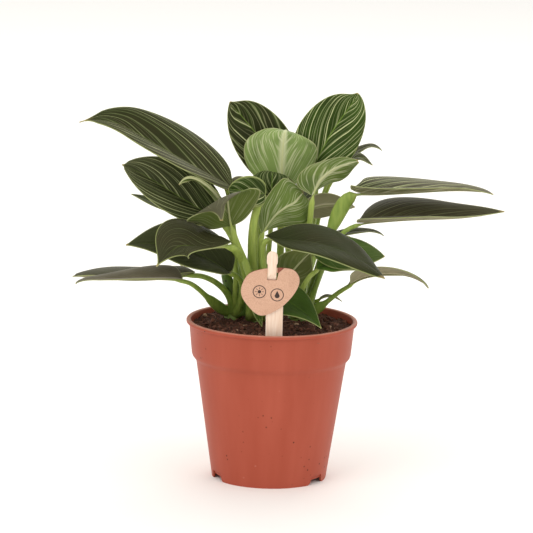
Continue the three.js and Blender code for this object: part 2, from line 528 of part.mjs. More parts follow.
function potGeometry() {
  const plateTop = PLATE_UNDERSIDE + PLATE_THICKNESS;
  const stepLow = POT_HEIGHT - STEP_DEPTH;
  const stepHigh = POT_HEIGHT - COLLAR_DEPTH;
  const lipLow = POT_HEIGHT - LIP_HEIGHT;
  const round = LIP_HEIGHT / 4;
  const ledge = POT_HEIGHT - LEDGE_DEPTH;
  const outline = [
    [0, 0], [PAD_RADIUS, 0], [PAD_RADIUS + PAD_DRAFT, PLATE_UNDERSIDE],
    [bodyRadius(PLATE_UNDERSIDE) - WALL, PLATE_UNDERSIDE], [BODY_LOW_RADIUS - WALL, 0],
    [BODY_LOW_RADIUS, 0], [BODY_TOP_RADIUS, stepLow], [LEDGE_RADIUS, ledge],
    [COLLAR_LOW_RADIUS, stepHigh], [COLLAR_TOP_RADIUS, lipLow],
    [LIP_RADIUS - round, lipLow], [LIP_RADIUS, lipLow + round],
    [LIP_RADIUS, POT_HEIGHT - round], [LIP_RADIUS - round, POT_HEIGHT],
    [COLLAR_TOP_RADIUS - WALL + round, POT_HEIGHT], [COLLAR_TOP_RADIUS - WALL, POT_HEIGHT - round],
    [COLLAR_LOW_RADIUS - WALL, stepHigh], [LEDGE_RADIUS - WALL, ledge],
    [BODY_TOP_RADIUS - WALL, stepLow], [bodyRadius(plateTop) - WALL, plateTop], [0, plateTop],
  ];
  const points = outline.map(([radius, height]) => new THREE.Vector2(radius, height));
  const shell = new THREE.LatheGeometry(points, POT_SEGMENTS).rotateX(Math.PI / 2);
  let pot = toSolid(shell);
  const notch = new THREE.Shape();
  const half = NOTCH_WIDTH / 2;
  notch.moveTo(-half - NOTCH_FLARE, -NOTCH_BELOW);
  notch.lineTo(half + NOTCH_FLARE, -NOTCH_BELOW);
  notch.quadraticCurveTo(half, 0, half, NOTCH_HEIGHT);
  notch.lineTo(-half, NOTCH_HEIGHT);
  notch.quadraticCurveTo(-half, 0, -half - NOTCH_FLARE, -NOTCH_BELOW);
  const options = { depth: NOTCH_CUT, bevelEnabled: false, curveSegments: 3 };
  for (let count = 0; count < NOTCHES; count++) {
    const cutter = new THREE.ExtrudeGeometry(notch, options);
    const angle = THREE.MathUtils.degToRad(FIRST_NOTCH_ANGLE + count * 360 / NOTCHES);
    cutter.rotateX(Math.PI / 2).translate(0, -NOTCH_FROM_RADIUS, 0).rotateZ(angle);
    pot = pot.subtract(toSolid(cutter));
  }
  for (let count = 0; count < DRAIN_HOLES; count++) {
    const sizes = [DRAIN_HOLE_RADIUS, DRAIN_HOLE_RADIUS, DRILL_LENGTH, DRAIN_HOLE_SIDES];
    const drill = new THREE.CylinderGeometry(...sizes);
    const angle = Math.PI * 2 * count / DRAIN_HOLES;
    drill.rotateX(Math.PI / 2).translate(DRAIN_RING_RADIUS, 0, PLATE_UNDERSIDE).rotateZ(angle);
    pot = pot.subtract(toSolid(drill));
  }
  return toGeometry(pot);
}

function soilHeight(x, y) {
  const ripples = [x, y].map((along, axis) => Math.sin(2 * Math.PI * along / SOIL_RIPPLE_PITCH[axis]));
  let height = POT_HEIGHT - SOIL_EDGE_DEPTH + SOIL_RIPPLE_HEIGHT * ripples[0] * ripples[1];
  for (const { place, rise, spread } of SOIL_MOUNDS) {
    const distance = Math.hypot(x - place[0], y - place[1]);
    height += rise * Math.exp(-((distance / spread) ** 2));
  }
  return height;
}

function soilGeometry() {
  const plateTop = PLATE_UNDERSIDE + PLATE_THICKNESS;
  const stepLow = POT_HEIGHT - STEP_DEPTH;
  const stepHigh = POT_HEIGHT - COLLAR_DEPTH;
  const clear = WALL + GAP;
  const edgeHeight = POT_HEIGHT - SOIL_EDGE_DEPTH;
  const rise = (edgeHeight - stepHigh) / (COLLAR_DEPTH - LIP_HEIGHT);
  const edgeRadius = THREE.MathUtils.lerp(COLLAR_LOW_RADIUS, COLLAR_TOP_RADIUS, rise) - clear;
  const outline = [
    [0, plateTop + GAP], [bodyRadius(plateTop) - clear, plateTop + GAP],
    [BODY_TOP_RADIUS - clear - SOIL_SLACK, stepLow],
    [COLLAR_LOW_RADIUS - clear - SOIL_SLACK, stepHigh],
    [edgeRadius - SOIL_SLACK, edgeHeight], ...SOIL_RINGS.map((radius) => [radius, edgeHeight]),
    [0, edgeHeight],
  ];
  const points = outline.map(([radius, height]) => new THREE.Vector2(radius, height));
  const body = new THREE.LatheGeometry(points, POT_SEGMENTS).rotateX(Math.PI / 2);
  const position = body.attributes.position;
  for (let index = 0; index < position.count; index++) {
    const onTop = position.getZ(index) > edgeHeight - SAME_PLACE;
    if (onTop) {
      position.setZ(index, soilHeight(position.getX(index), position.getY(index)));
    }
  }
  let soil = toSolid(body);
  for (const crown of Object.values(CROWNS)) {
    soil = soil.subtract(toSolid(crownGeometry(crown, GAP)));
  }
  return soil;
}

const root = new THREE.Group();
root.name = 'potted_philodendron';

function addMesh(parent, name, geometry, material) {
  const mesh = new THREE.Mesh(geometry, material.clone());
  mesh.name = name;
  parent.add(mesh);
  return mesh;
}

// Half the stake's width at each height, and how far forward of its foot it lies there. The neck
// and the tongue stand a little to the left of the middle.
function stakeGeometry() {
  const half = STAKE_WIDTH / 2;
  const neck = NECK_WIDTH / 2;
  const tongue = TONGUE_WIDTH / 2;
  const stations = [
    [-STAKE_DEPTH, STAKE_POINT_WIDTH / 2, 0], [STAKE_POINT - STAKE_DEPTH, half, 0], [0, half, 0],
    [SHOULDER_HEIGHT - SHOULDER_CHAMFER, half, 0], [SHOULDER_HEIGHT, neck, 0],
    [TONGUE_START, neck, 0], [TONGUE_CLEAR, neck, TONGUE_FORWARD],
    [TONGUE_WIDENS, neck, TONGUE_FORWARD], [TONGUE_WIDENS + TONGUE_FLARE, tongue, TONGUE_FORWARD],
    ...TONGUE_ROUND.map(([below, share]) => [TONGUE_TOP - below, tongue * share, TONGUE_FORWARD]),
  ];
  const normal = new THREE.Vector3(0, -1, 0);
  const rows = stations.map(([height, reach, forward]) => [-1, 1].map((side) => {
    const aside = height < SHOULDER_HEIGHT ? 0 : NECK_ASIDE;
    return { place: new THREE.Vector3(aside + side * reach, -forward, height), normal };
  }));
  return sheetGeometry(rows, STAKE_THICKNESS);
}

function discGeometry() {
  const points = DISC_OUTLINE.map(([x, height]) => new THREE.Vector3(x, height, 0));
  const curve = new THREE.CatmullRomCurve3(points, true, 'centripetal');
  const outline = curve.getPoints(DISC_SEGMENTS).slice(0, -1);
  const shape = new THREE.Shape(outline.map((point) => new THREE.Vector2(point.x, point.y)));
  const slot = new THREE.Path();
  const left = NECK_ASIDE - SLOT_WIDTH / 2;
  const right = NECK_ASIDE + SLOT_WIDTH / 2;
  slot.moveTo(left, SLOT_TO);
  slot.lineTo(left, SLOT_FROM);
  slot.lineTo(right, SLOT_FROM);
  slot.lineTo(right + SLIT_WIDTH, SLOT_TO);
  shape.holes.push(slot);
  const disc = new THREE.ExtrudeGeometry(shape, { depth: DISC_THICKNESS, bevelEnabled: false });
  return disc.rotateX(Math.PI / 2).translate(0, -DISC_FORWARD + DISC_THICKNESS / 2, 0);
}

function addTag() {
  const tag = new THREE.Group();
  tag.position.set(...TAG_PLACE);
  tag.rotation.x = THREE.MathUtils.degToRad(TAG_LEAN);
  addMesh(tag, 'tag_stake', stakeGeometry(), materials.wood);
  addMesh(tag, 'tag_disc', discGeometry(), materials.disc);
  root.add(tag);
  tag.updateMatrixWorld(true);
  return tag;
}

// The hole that the stake stands in, a little wider than the stake.
function stakeHole(tag) {
  const height = STAKE_DEPTH + HOLE_ABOVE_SOIL;
  const hole = new THREE.BoxGeometry(STAKE_WIDTH + 2 * GAP, STAKE_THICKNESS + 2 * GAP, height);
  hole.translate(0, 0, height / 2 - STAKE_DEPTH - GAP);
  return toSolid(hole.applyMatrix4(tag.matrixWorld));
}

addMesh(root, 'pot', potGeometry(), materials.pot);
const tag = addTag();
addMesh(root, 'soil', toGeometry(soilGeometry().subtract(stakeHole(tag))), materials.soil);
for (const name of Object.keys(CROWNS)) {
  addMesh(root, `stems_${name}`, stemsGeometry(name), materials.petiole);
}
for (const leaf of LEAVES) {
  addMesh(root, `leaf_${leaf.name}`, bladeGeometry(leaf), materials.blade);
}

export default root;
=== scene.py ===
# %% [markdown]
# A pinstriped philodendron in its nursery pot.
# The plant is a small potted aroid: long dark blades with fine cream stripes, juicy petioles that
# rise from three crowns, dark peat, and a terracotta-coloured plastic pot with a wooden tag.
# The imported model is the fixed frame: it says where each piece stands and how big it is. This file
# dresses it, piece by piece, and every new piece stands for the plain solid of the same place.

# %% The frame
import math
import random

import bmesh
import bpy
from mathutils import Matrix, Vector, noise


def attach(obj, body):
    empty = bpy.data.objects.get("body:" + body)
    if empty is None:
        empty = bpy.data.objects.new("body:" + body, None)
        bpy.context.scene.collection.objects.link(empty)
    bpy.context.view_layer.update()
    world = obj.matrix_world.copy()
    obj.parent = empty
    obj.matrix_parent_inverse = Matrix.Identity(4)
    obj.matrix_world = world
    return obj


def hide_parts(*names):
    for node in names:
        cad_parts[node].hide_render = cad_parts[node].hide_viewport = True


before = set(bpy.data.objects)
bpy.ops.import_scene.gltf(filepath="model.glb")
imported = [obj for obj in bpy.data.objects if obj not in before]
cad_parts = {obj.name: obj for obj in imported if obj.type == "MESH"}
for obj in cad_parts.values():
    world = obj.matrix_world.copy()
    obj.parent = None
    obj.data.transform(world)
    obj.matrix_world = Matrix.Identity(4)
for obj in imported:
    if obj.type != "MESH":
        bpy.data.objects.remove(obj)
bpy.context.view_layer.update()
MM = 0.001
BODY = "root"

# %% [markdown]
# Colours are easiest to compare with a photograph as sRGB hex values, but a shader adds and
# multiplies light, so it needs linear numbers. One function turns the one into the other.
# Materials are graphs of nodes. One small function adds a node: its settings are attributes of the
# node, and each input is a number, another node, whose first output is meant, or one of its other
# outputs.

# %% Colours and nodes
def linear(colour):
    """An sRGB hex value, such as #b85c45, as linear red, green, blue and alpha."""
    channels = [int(colour[start:start + 2], 16) / 255 for start in (1, 3, 5)]
    turned = [c / 12.92 if c <= 0.04045 else ((c + 0.055) / 1.055) ** 2.4 for c in channels]
    return (*turned, 1.0)


def output_of(value):
    """The first output in use of a node, and anything else as it is."""
    if isinstance(value, bpy.types.Node):
        return next(socket for socket in value.outputs if socket.enabled)
    return value


def add_node(tree, kind, settings=None, inputs=None):
    """A new node of that kind, with its settings and its inputs' numbers or links."""
    node = tree.nodes.new("ShaderNode" + kind)
    for name, value in (settings or {}).items():
        setattr(node, name, value)
    for name, value in (inputs or {}).items():
        value = output_of(value)
        if isinstance(value, bpy.types.NodeSocket):
            tree.links.new(value, node.inputs[name])
        else:
            node.inputs[name].default_value = value
    return node


print("terracotta in linear light:", [round(c, 3) for c in linear("#b85c45")])

# %% [markdown]
# Six kinds of node come back all the time, so each has a short name: a noise, a number that the mesh
# carries, a sum, a value moved from one pair of ends to another, a colour ramp, and one colour laid
# over another.

# %% The usual nodes
def noise_node(tree, place, scale, detail):
    """A noise with about 1 / scale from blob to blob."""
    return add_node(tree, "TexNoise", inputs={"Vector": place, "Scale": scale, "Detail": detail})


def attribute(tree, name):
    """The number that each point or leaf carries under that name."""
    return add_node(tree, "Attribute", {"attribute_name": name}).outputs["Fac"]


def maths(tree, operation, *values):
    """That operation on the values."""
    return add_node(tree, "Math", {"operation": operation}, dict(enumerate(values)))


def mapped(tree, value, ends, new_ends=(0.0, 1.0), smooth=False):
    """The value moved from one pair of ends to the other, and kept between them."""
    return add_node(tree, "MapRange", {"interpolation_type": "SMOOTHSTEP" if smooth else "LINEAR"}, {
        "Value": value, "From Min": ends[0], "From Max": ends[1],
        "To Min": new_ends[0], "To Max": new_ends[1]})


def ramp(tree, value, stops):
    """The value as a colour, between stops that are a place from 0 to 1 with a hex value each."""
    node = add_node(tree, "ValToRGB", inputs={"Fac": value})
    elements = node.color_ramp.elements
    for position, colour in stops[1:-1]:
        elements.new(position).color = linear(colour)
    for end in (0, -1):
        elements[end].position = stops[end][0]
        elements[end].color = linear(stops[end][1])
    return node


def mix(tree, share, below, above):
    """The colour below with that share of the one above, which may be a hex value."""
    above = linear(above) if isinstance(above, str) else above
    return add_node(tree, "Mix", {"data_type": "RGBA"}, {"Factor": share, "A": below, "B": above})


print("six short names for nodes")

# %% [markdown]
# Every material starts as a principled shader with its own roughness and IOR. It ends in the same way
# each time, with a colour for the shader and mostly a bump.

# %% Materials
def new_material(name, roughness, ior=1.5):
    """A principled material with its roughness and IOR set on the shader's own sockets."""
    material = bpy.data.materials.new(name)
    material.use_nodes = True
    shader = material.node_tree.nodes["Principled BSDF"]
    shader.inputs["Roughness"].default_value = roughness
    shader.inputs["IOR"].default_value = ior
    return material, material.node_tree, shader


def dress(tree, shader, colour, height=None, strength=0.0, distance=0.0, invert=False):
    """Gives the shader its colour and, from a height, a bump of that distance in metres."""
    tree.links.new(output_of(colour), shader.inputs["Base Color"])
    if height is not None:
        bump = add_node(tree, "Bump", {"invert": invert}, {
            "Strength": strength, "Distance": distance, "Height": height})
        tree.links.new(bump.outputs["Normal"], shader.inputs["Normal"])


print("a finished material has a colour and mostly a bump")

# %% [markdown]
# A finished piece sits at the origin, unturned and unscaled, with its place in its mesh. Each one
# rides on the only body, gets its materials, and stands for the solids that it replaces, which are
# hidden.

# %% Finishing a piece
def to_object(name, shape, materials=()):
    """The bmesh as a new object in the scene, with its materials."""
    mesh = bpy.data.meshes.new(name)
    shape.to_mesh(mesh)
    shape.free()
    for material in materials:
        mesh.materials.append(material)
    made = bpy.data.objects.new(name, mesh)
    bpy.context.scene.collection.objects.link(made)
    return made


def finish_piece(name, shape, materials, nodes=(), smooth=True):
    """The bmesh as an object with its materials, declared to the frame."""
    piece = to_object(name, shape, materials)
    if smooth:
        piece.data.shade_smooth()
    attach(piece, BODY)
    if nodes:
        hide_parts(*nodes)
    return piece


print("every piece rides on", BODY)

# %% [markdown]
# The camera stands 2.6 m in front of the pot and looks down on it by about eleven degrees, through
# a long lens, so that the pot's sides hardly converge. It is rolled by a little over a degree,
# because the photograph leans by that much. The floor is one pale sheet that fills the view.

# %% Camera and studio
CAMERA_PLACE = Vector((-0.0046, -2.6, 0.6509))
CAMERA_TARGET = Vector((-0.0046, 0, 0.1499))
CAMERA_ROLL = math.radians(1.2)
LENS_MM = 255.6
SENSOR_MM = 36


def aim(place, target, roll=0.0):
    """The matrix of a camera or a light at place that looks at target."""
    forward = (target - place).normalized()
    level = forward.cross(Vector((0, 0, 1))).normalized()
    plumb = level.cross(forward)
    right = level * math.cos(roll) + plumb * math.sin(roll)
    up = right.cross(forward)
    turn = Matrix((right, up, -forward)).transposed()
    return Matrix.Translation(place) @ turn.to_4x4()


camera_data = bpy.data.cameras.new("camera")
camera_data.lens = LENS_MM
camera_data.sensor_width = SENSOR_MM
camera_data.clip_end = 30
camera = bpy.data.objects.new("camera", camera_data)
camera.matrix_world = aim(CAMERA_PLACE, CAMERA_TARGET, CAMERA_ROLL)
bpy.context.scene.collection.objects.link(camera)
bpy.context.scene.camera = camera
print("camera height", CAMERA_PLACE.z, "m, lens", LENS_MM, "mm")

# %% [markdown]
# The light is a white tent: a pale world all round, a big softbox above and to the front left, a
# weaker one to the right, and one behind and above that gives the dark blades their grey sheen.

# %% Light
SOFTBOXES = {
    # name: (place, size in metres, watts)
    "key": ((-1.1, -1.5, 1.9), 1.4, 16),
    "fill": ((1.5, -1.3, 1.1), 1.4, 5),
    "back": ((0.2, 1.5, 1.6), 1.6, 14),
}
LIGHT_TARGET = Vector((0, 0, 0.15))
WORLD_STRENGTH = 1.0

world = bpy.data.worlds.new("tent")
world.use_nodes = True
canvas = world.node_tree.nodes["Background"]
canvas.inputs["Color"].default_value = linear("#fffdfa")
canvas.inputs["Strength"].default_value = WORLD_STRENGTH
bpy.context.scene.world = world
bpy.context.scene.view_settings.view_transform = "Standard"

for name, (place, size, watts) in SOFTBOXES.items():
    lamp = bpy.data.lights.new(name, "AREA")
    lamp.size = size
    lamp.energy = watts
    lamp.color = linear("#fff9f2")[:3]
    softbox = bpy.data.objects.new(name, lamp)
    softbox.matrix_world = aim(Vector(place), LIGHT_TARGET)
    bpy.context.scene.collection.objects.link(softbox)
print(len(SOFTBOXES), "softboxes")

# %% [markdown]
# The plant stands on one sheet of pale seamless paper, so wide that no edge comes into view. Paper
# is matt, and a slow noise keeps its white from being perfectly even. A sheet like this is a grid of
# a single face. It shows in the picture but is no piece of the plant.

# %% The floor
FLOOR_SIZE = 14.0

paper, tree, shader = new_material("seamless_paper", 0.9)
cloud = add_node(tree, "TexNoise", inputs={"Scale": 3.0, "Detail": 1.0})
paper_tone = ramp(tree, cloud, [(0, "#f6f5f3"), (1, "#fafaf8")])
dress(tree, shader, paper_tone)

floor_shape = bmesh.new()
bmesh.ops.create_grid(floor_shape, x_segments=1, y_segments=1, size=FLOOR_SIZE / 2)
floor = to_object("floor", floor_shape, [paper])
print("the floor is", FLOOR_SIZE, "m wide")

# %% [markdown]
# The pot is injection-moulded polypropylene: one thin wall of even thickness with a rolled lip, a
# collar that steps in so that pots nest, and a foot ring with three notches that let water out.
# A turned shape like this is a profile spun round the axis. The profile runs from the middle of the
# underside, out and up the outer wall, over the lip, and back down inside.

# %% The pot's profile
POT_HEIGHT = 112.5
LIP_RADIUS = 60
LIP_HEIGHT = 2.8
COLLAR_TOP_RADIUS = 58
COLLAR_LOW_RADIUS = 55.8
COLLAR_DEPTH = 25
LEDGE_RADIUS = 54.9
LEDGE_DEPTH = 26.4
STEP_DEPTH = 29
BODY_TOP_RADIUS = 52.7
BODY_LOW_RADIUS = 40.2
WALL = 1.2
PLATE_UNDERSIDE = 3.5
PLATE_TOP = 5.1
PAD_RADIUS = 8
PAD_DRAFT = 1
LIP_ROUND = 1.1
LIP_ARC_STEPS = 5
POT_STEPS = 288


def body_radius(height):
    """The outer radius of the wall below the collar."""
    share = height / (POT_HEIGHT - STEP_DEPTH)
    return BODY_LOW_RADIUS + (BODY_TOP_RADIUS - BODY_LOW_RADIUS) * share


def lip_arc(centre, start, end, radius):
    """Points of a quarter round of the lip, with its angles in degrees."""
    shares = [step / LIP_ARC_STEPS for step in range(LIP_ARC_STEPS + 1)]
    angles = [math.radians(start + (end - start) * share) for share in shares]
    return [(centre[0] + radius * math.cos(a), centre[1] + radius * math.sin(a)) for a in angles]


step_low = POT_HEIGHT - STEP_DEPTH
step_high = POT_HEIGHT - COLLAR_DEPTH
ledge = POT_HEIGHT - LEDGE_DEPTH
lip_low = POT_HEIGHT - LIP_HEIGHT
pot_profile = [
    (0, 0), (PAD_RADIUS, 0), (PAD_RADIUS + PAD_DRAFT, PLATE_UNDERSIDE),
    (body_radius(PLATE_UNDERSIDE) - WALL, PLATE_UNDERSIDE),
    (BODY_LOW_RADIUS - WALL, 0), (BODY_LOW_RADIUS, 0),
    (body_radius(9), 9), (body_radius(step_low - 8), step_low - 8),
    (BODY_TOP_RADIUS - 0.04, step_low - 0.6), (BODY_TOP_RADIUS + 0.35, step_low + 0.3),
    (LEDGE_RADIUS - 0.2, ledge - 0.3), (LEDGE_RADIUS + 0.45, ledge + 0.6),
    (COLLAR_LOW_RADIUS + 0.1, step_high + 1), (COLLAR_LOW_RADIUS + 0.9, step_high + 9),
    (COLLAR_TOP_RADIUS - 0.1, lip_low - 0.8), (COLLAR_TOP_RADIUS + 0.4, lip_low),
    *lip_arc((LIP_RADIUS - LIP_ROUND, lip_low + LIP_ROUND), -90, 0, LIP_ROUND),
    *lip_arc((LIP_RADIUS - LIP_ROUND, POT_HEIGHT - LIP_ROUND), 0, 90, LIP_ROUND),
    *lip_arc((COLLAR_TOP_RADIUS - WALL + LIP_ROUND, POT_HEIGHT - LIP_ROUND), 90, 180, LIP_ROUND),
    (COLLAR_LOW_RADIUS - WALL, step_high), (LEDGE_RADIUS - WALL, ledge),
    (BODY_TOP_RADIUS - WALL, step_low), (body_radius(PLATE_TOP) - WALL, PLATE_TOP), (0, PLATE_TOP),
]
print("the pot's profile has", len(pot_profile), "points")

# %% [markdown]
# One spin of the profile makes the whole pot, wall, lip, floor and all. The profile starts and ends
# on the axis, where the spin leaves many vertices in one spot, so doubles are merged, and then the
# normals are made to point outwards.

# %% Turning the pot
def spin_profile(profile, steps):
    """A bmesh of the profile, in millimetres, turned round the Z axis."""
    shape = bmesh.new()
    points = [shape.verts.new((radius * MM, 0, height * MM)) for radius, height in profile]
    edges = [shape.edges.new(pair) for pair in zip(points, points[1:])]
    bmesh.ops.spin(shape, geom=points + edges, axis=(0, 0, 1), cent=(0, 0, 0),
                   angle=2 * math.pi, steps=steps, use_merge=True)
    bmesh.ops.remove_doubles(shape, verts=shape.verts, dist=1e-6)
    bmesh.ops.recalc_face_normals(shape, faces=shape.faces)
    return shape


pot_shape = spin_profile(pot_profile, POT_STEPS)
print("the pot is turned in", POT_STEPS, "steps")

# %% [markdown]
# Each notch lifts the lower edge of the foot ring, with flared sides that end in a rounded corner.
# Lifting the edge of the spun wall, with its radius following the taper, gives a clean edge that a
# boolean cut would leave ragged.

# %% The notches in the foot
NOTCHES = 3
NOTCH_HALF_WIDTH = 6
NOTCH_HEIGHT = 6
NOTCH_FLARE = 4
FIRST_NOTCH = math.radians(55.5)


def notch_rise(angle):
    """How high the foot's edge is lifted at an angle from the front."""
    between = 2 * math.pi / NOTCHES
    off = (angle - FIRST_NOTCH + between / 2) % between - between / 2
    aside = abs(BODY_LOW_RADIUS * math.sin(off))
    if aside <= NOTCH_HALF_WIDTH:
        return NOTCH_HEIGHT
    run = 1 - math.sqrt(min((aside - NOTCH_HALF_WIDTH) / NOTCH_FLARE, 1))
    return max(NOTCH_HEIGHT * run ** 2 - (1 - run) ** 2, 0)


for vertex in pot_shape.verts:
    radius = vertex.co.xy.length / MM
    if vertex.co.z < 1e-6 and radius > PAD_RADIUS + PAD_DRAFT:
        rise = notch_rise(math.atan2(vertex.co.x, -vertex.co.y))
        grown = (radius + body_radius(rise) - BODY_LOW_RADIUS) / radius
        vertex.co = Vector((vertex.co.x * grown, vertex.co.y * grown, rise * MM))
print(NOTCHES, "notches,", NOTCH_HEIGHT, "mm high")

# %% [markdown]
# Terracotta polypropylene: a satin plastic with a coloured body. The eye reads it by a soft sheen
# that pales towards the sides, faint upright flow marks from the mould, and a painted highlight
# along the top of the lip. The flow marks are a noise, drawn out twelve times along the height.

# %% The pot's plastic
LIP_HIGHLIGHT_DEPTH = 0.9
LIP_HIGHLIGHT_FULL_DEPTH = 0.2

terracotta, tree, shader = new_material("terracotta_polypropylene", 0.45, 1.22)
place = add_node(tree, "TexCoord").outputs["Object"]
upright = add_node(tree, "Mapping", inputs={"Vector": place, "Scale": (1, 1, 0.08)})
flow = noise_node(tree, upright, 70.0, 3.0)
moulded = ramp(tree, flow, [(0.25, "#a04b38"), (0.75, "#ab5542")])
heights = add_node(tree, "SeparateXYZ", inputs={0: place})
# The top of the lip gets a painted highlight: a paler colour over its last 0.9 mm, strongest over the last
# 0.2 mm.
lip_highlight_heights = ((POT_HEIGHT - LIP_HIGHLIGHT_DEPTH) * MM, (POT_HEIGHT - LIP_HIGHLIGHT_FULL_DEPTH) * MM)
lip_highlight = mapped(tree, heights.outputs["Z"], lip_highlight_heights, (0.0, 0.45))
print("the lip is rubbed over its top", LIP_HIGHLIGHT_DEPTH, "mm")

# %% [markdown]
# A pot that has been handled and watered carries dark specks of peat and a few pale scuffs. Both are
# the cells of a Voronoi pattern, of which only the middles show, and only in patches: the specks lie
# about 5 mm apart where a slow noise is high, and the scuffs about 10 mm apart where it is low.

# %% Specks and scuffs
def patchy_dots(tree, place, scale, rim, patches, shown, strength=1.0):
    """Round dots, 1 / scale metres apart, where patches lies between the two numbers of shown.

    rim holds the distances from a dot's middle, as shares of the cells, where it starts to fade and
    where it ends.
    """
    cells = add_node(tree, "TexVoronoi", inputs={"Vector": place, "Scale": scale})
    dots = mapped(tree, cells, rim, (strength, 0.0))
    patch = mapped(tree, patches, shown)
    return maths(tree, "MULTIPLY", dots, patch)


patches = noise_node(tree, place, 32.0, 2.0)
specks = patchy_dots(tree, place, 190.0, (0.07, 0.15), patches, (0.5, 0.6))
dusted = mix(tree, specks, moulded, "#4a2c20")
scuffs = patchy_dots(tree, place, 95.0, (0.03, 0.1), patches, (0.47, 0.41), strength=0.6)
scuffed = mix(tree, scuffs, dusted, "#c58a78")
# The painted highlight along the top of the lip.
highlighted = mix(tree, lip_highlight, scuffed, "#cf9a86")
grain = noise_node(tree, place, 900.0, 2.0)
dress(tree, shader, highlighted, grain, strength=0.06, distance=0.0004)
print(len(tree.nodes), "nodes in the plastic")

# %% [markdown]
# The drain holes in the pot's floor are round, so a boolean with short cylinders cuts them cleanly.
# Each cut is settled into the mesh at once. The pot is shaded smooth, apart from the edges that turn
# sharply.

# %% The drain holes
DRAIN_HOLES = 6
DRAIN_HOLE_RADIUS = 3.5
DRAIN_RING_RADIUS = 25
DRILL_LENGTH = 10


def cut(piece, cutter_shape):
    """Takes the cutter's shape out of the piece."""
    cutter = to_object("cutter", cutter_shape)
    boolean = piece.modifiers.new("cut", "BOOLEAN")
    boolean.object = cutter
    boolean.solver = "EXACT"
    graph = bpy.context.evaluated_depsgraph_get()
    settled = bpy.data.meshes.new_from_object(piece.evaluated_get(graph))
    piece.modifiers.remove(boolean)
    piece.data = settled
    bpy.data.objects.remove(cutter)


def sharpen(piece, degrees):
    """Smooth shading, apart from the edges that turn by more than that angle."""
    piece.data.shade_smooth()
    piece.data.set_sharp_from_angle(angle=math.radians(degrees))


pot = finish_piece("nursery_pot", pot_shape, [terracotta], ["pot"])
drills = bmesh.new()
for hole in range(DRAIN_HOLES):
    spot = Matrix.Rotation(2 * math.pi * hole / DRAIN_HOLES, 4, "Z") @ Matrix.Translation(
        (DRAIN_RING_RADIUS * MM, 0, PLATE_UNDERSIDE * MM))
    bmesh.ops.create_cone(drills, cap_ends=True, segments=24, radius1=DRAIN_HOLE_RADIUS * MM,
                          radius2=DRAIN_HOLE_RADIUS * MM, depth=DRILL_LENGTH * MM, matrix=spot)
cut(pot, drills)
sharpen(pot, 38)
print("the pot has", len(pot.data.polygons), "faces")

# %% [markdown]
# Fibres, petioles and midribs are all tubes that follow a run of points. A circle is drawn at the
# first point and its edge is extruded to each next one. The frame at each point is turned as little
# as possible from the last, so that the tube doesn't twist.

# %% Sweeping a tube
def only(kind, extruded):
    """The vertices or the edges among what an extrusion has made."""
    return [item for item in extruded["geom"] if isinstance(item, kind)]


def sweep(shape, points, radii, sides, side=None, section=None):
    """Adds a closed tube through the points, in millimetres, and returns its vertices.

    radii holds a half width and a half depth for each point. section turns the angle round the
    ring into a share of the radius. The half width lies along side.
    """
    made = []
    previous = ring = None
    side = side or (points[1] - points[0]).orthogonal()
    for index, point in enumerate(points):
        direction = (points[min(index + 1, len(points) - 1)] - points[max(index - 1, 0)]).normalized()
        side = (side - direction * side.dot(direction)).normalized()
        depth = direction.cross(side)
        wide, deep = radii[index]
        turned = Matrix((side * wide, depth * deep, direction)).transposed()
        here = Matrix.Translation(point * MM) @ Matrix.Scale(MM, 4) @ turned.to_4x4()
        if ring is None:
            ring = bmesh.ops.create_circle(shape, segments=sides, radius=1, cap_ends=True)["verts"]
            for vertex in ring:
                if section:
                    vertex.co *= section(math.atan2(vertex.co.y, vertex.co.x))
            bmesh.ops.transform(shape, matrix=here, verts=ring)
            rim = [edge for edge in shape.edges if edge.verts[0] in ring and edge.verts[1] in ring]
        else:
            grown = bmesh.ops.extrude_edge_only(shape, edges=rim)
            ring = only(bmesh.types.BMVert, grown)
            rim = only(bmesh.types.BMEdge, grown)
            bmesh.ops.transform(shape, matrix=here @ previous.inverted(), verts=ring)
        previous = here
        made += ring
    bmesh.ops.contextual_create(shape, geom=rim)
    faces = {face for vertex in made for face in vertex.link_faces}
    bmesh.ops.recalc_face_normals(shape, faces=list(faces))
    return made


trial = bmesh.new()
sweep(trial, [Vector((0, 0, 0)), Vector((0, 0, 9)), Vector((0, 4, 18))], [(1, 1)] * 3, sides=6)
print("a trial tube of three rings has", len(trial.faces), "faces")
trial.free()

# %% [markdown]
# The soil is moist peat: fibrous dark brown crumbs, a little higher round the crowns and at the back
# left. It fills the pot, so its body is spun from a profile too, with many rings on top that are
# raised by fractal noise into soft clods.

# %% The soil's body
GAP = 0.3
SOIL_EDGE_DEPTH = 5.5
COLLAR_RADIUS_AT_SOIL = 57.78
SOIL_MOUNDS = [((0, 12), 2.5, 30), ((-40, 28), 2.0, 20)]
SOIL_RING_SPACING = 1.1
SOIL_STEPS = 180
CLOD_HEIGHT = 2.4
CLOD_SIZE = 7.0
CLOD_FRACTAL = (0.75, 2.3, 5)
edge_height = POT_HEIGHT - SOIL_EDGE_DEPTH
edge_radius = COLLAR_RADIUS_AT_SOIL - WALL - GAP


def soil_height(x, y):
    """The height of the smooth soil in millimetres."""
    height = edge_height
    for (mound_x, mound_y), rise, spread in SOIL_MOUNDS:
        distance = math.hypot(x - mound_x, y - mound_y)
        height += rise * math.exp(-(distance / spread) ** 2)
    return height


def clods(x, y):
    """The rough part of the soil's height in millimetres."""
    spot = Vector((x / CLOD_SIZE, y / CLOD_SIZE, 0))
    return CLOD_HEIGHT * noise.fractal(spot, *CLOD_FRACTAL)


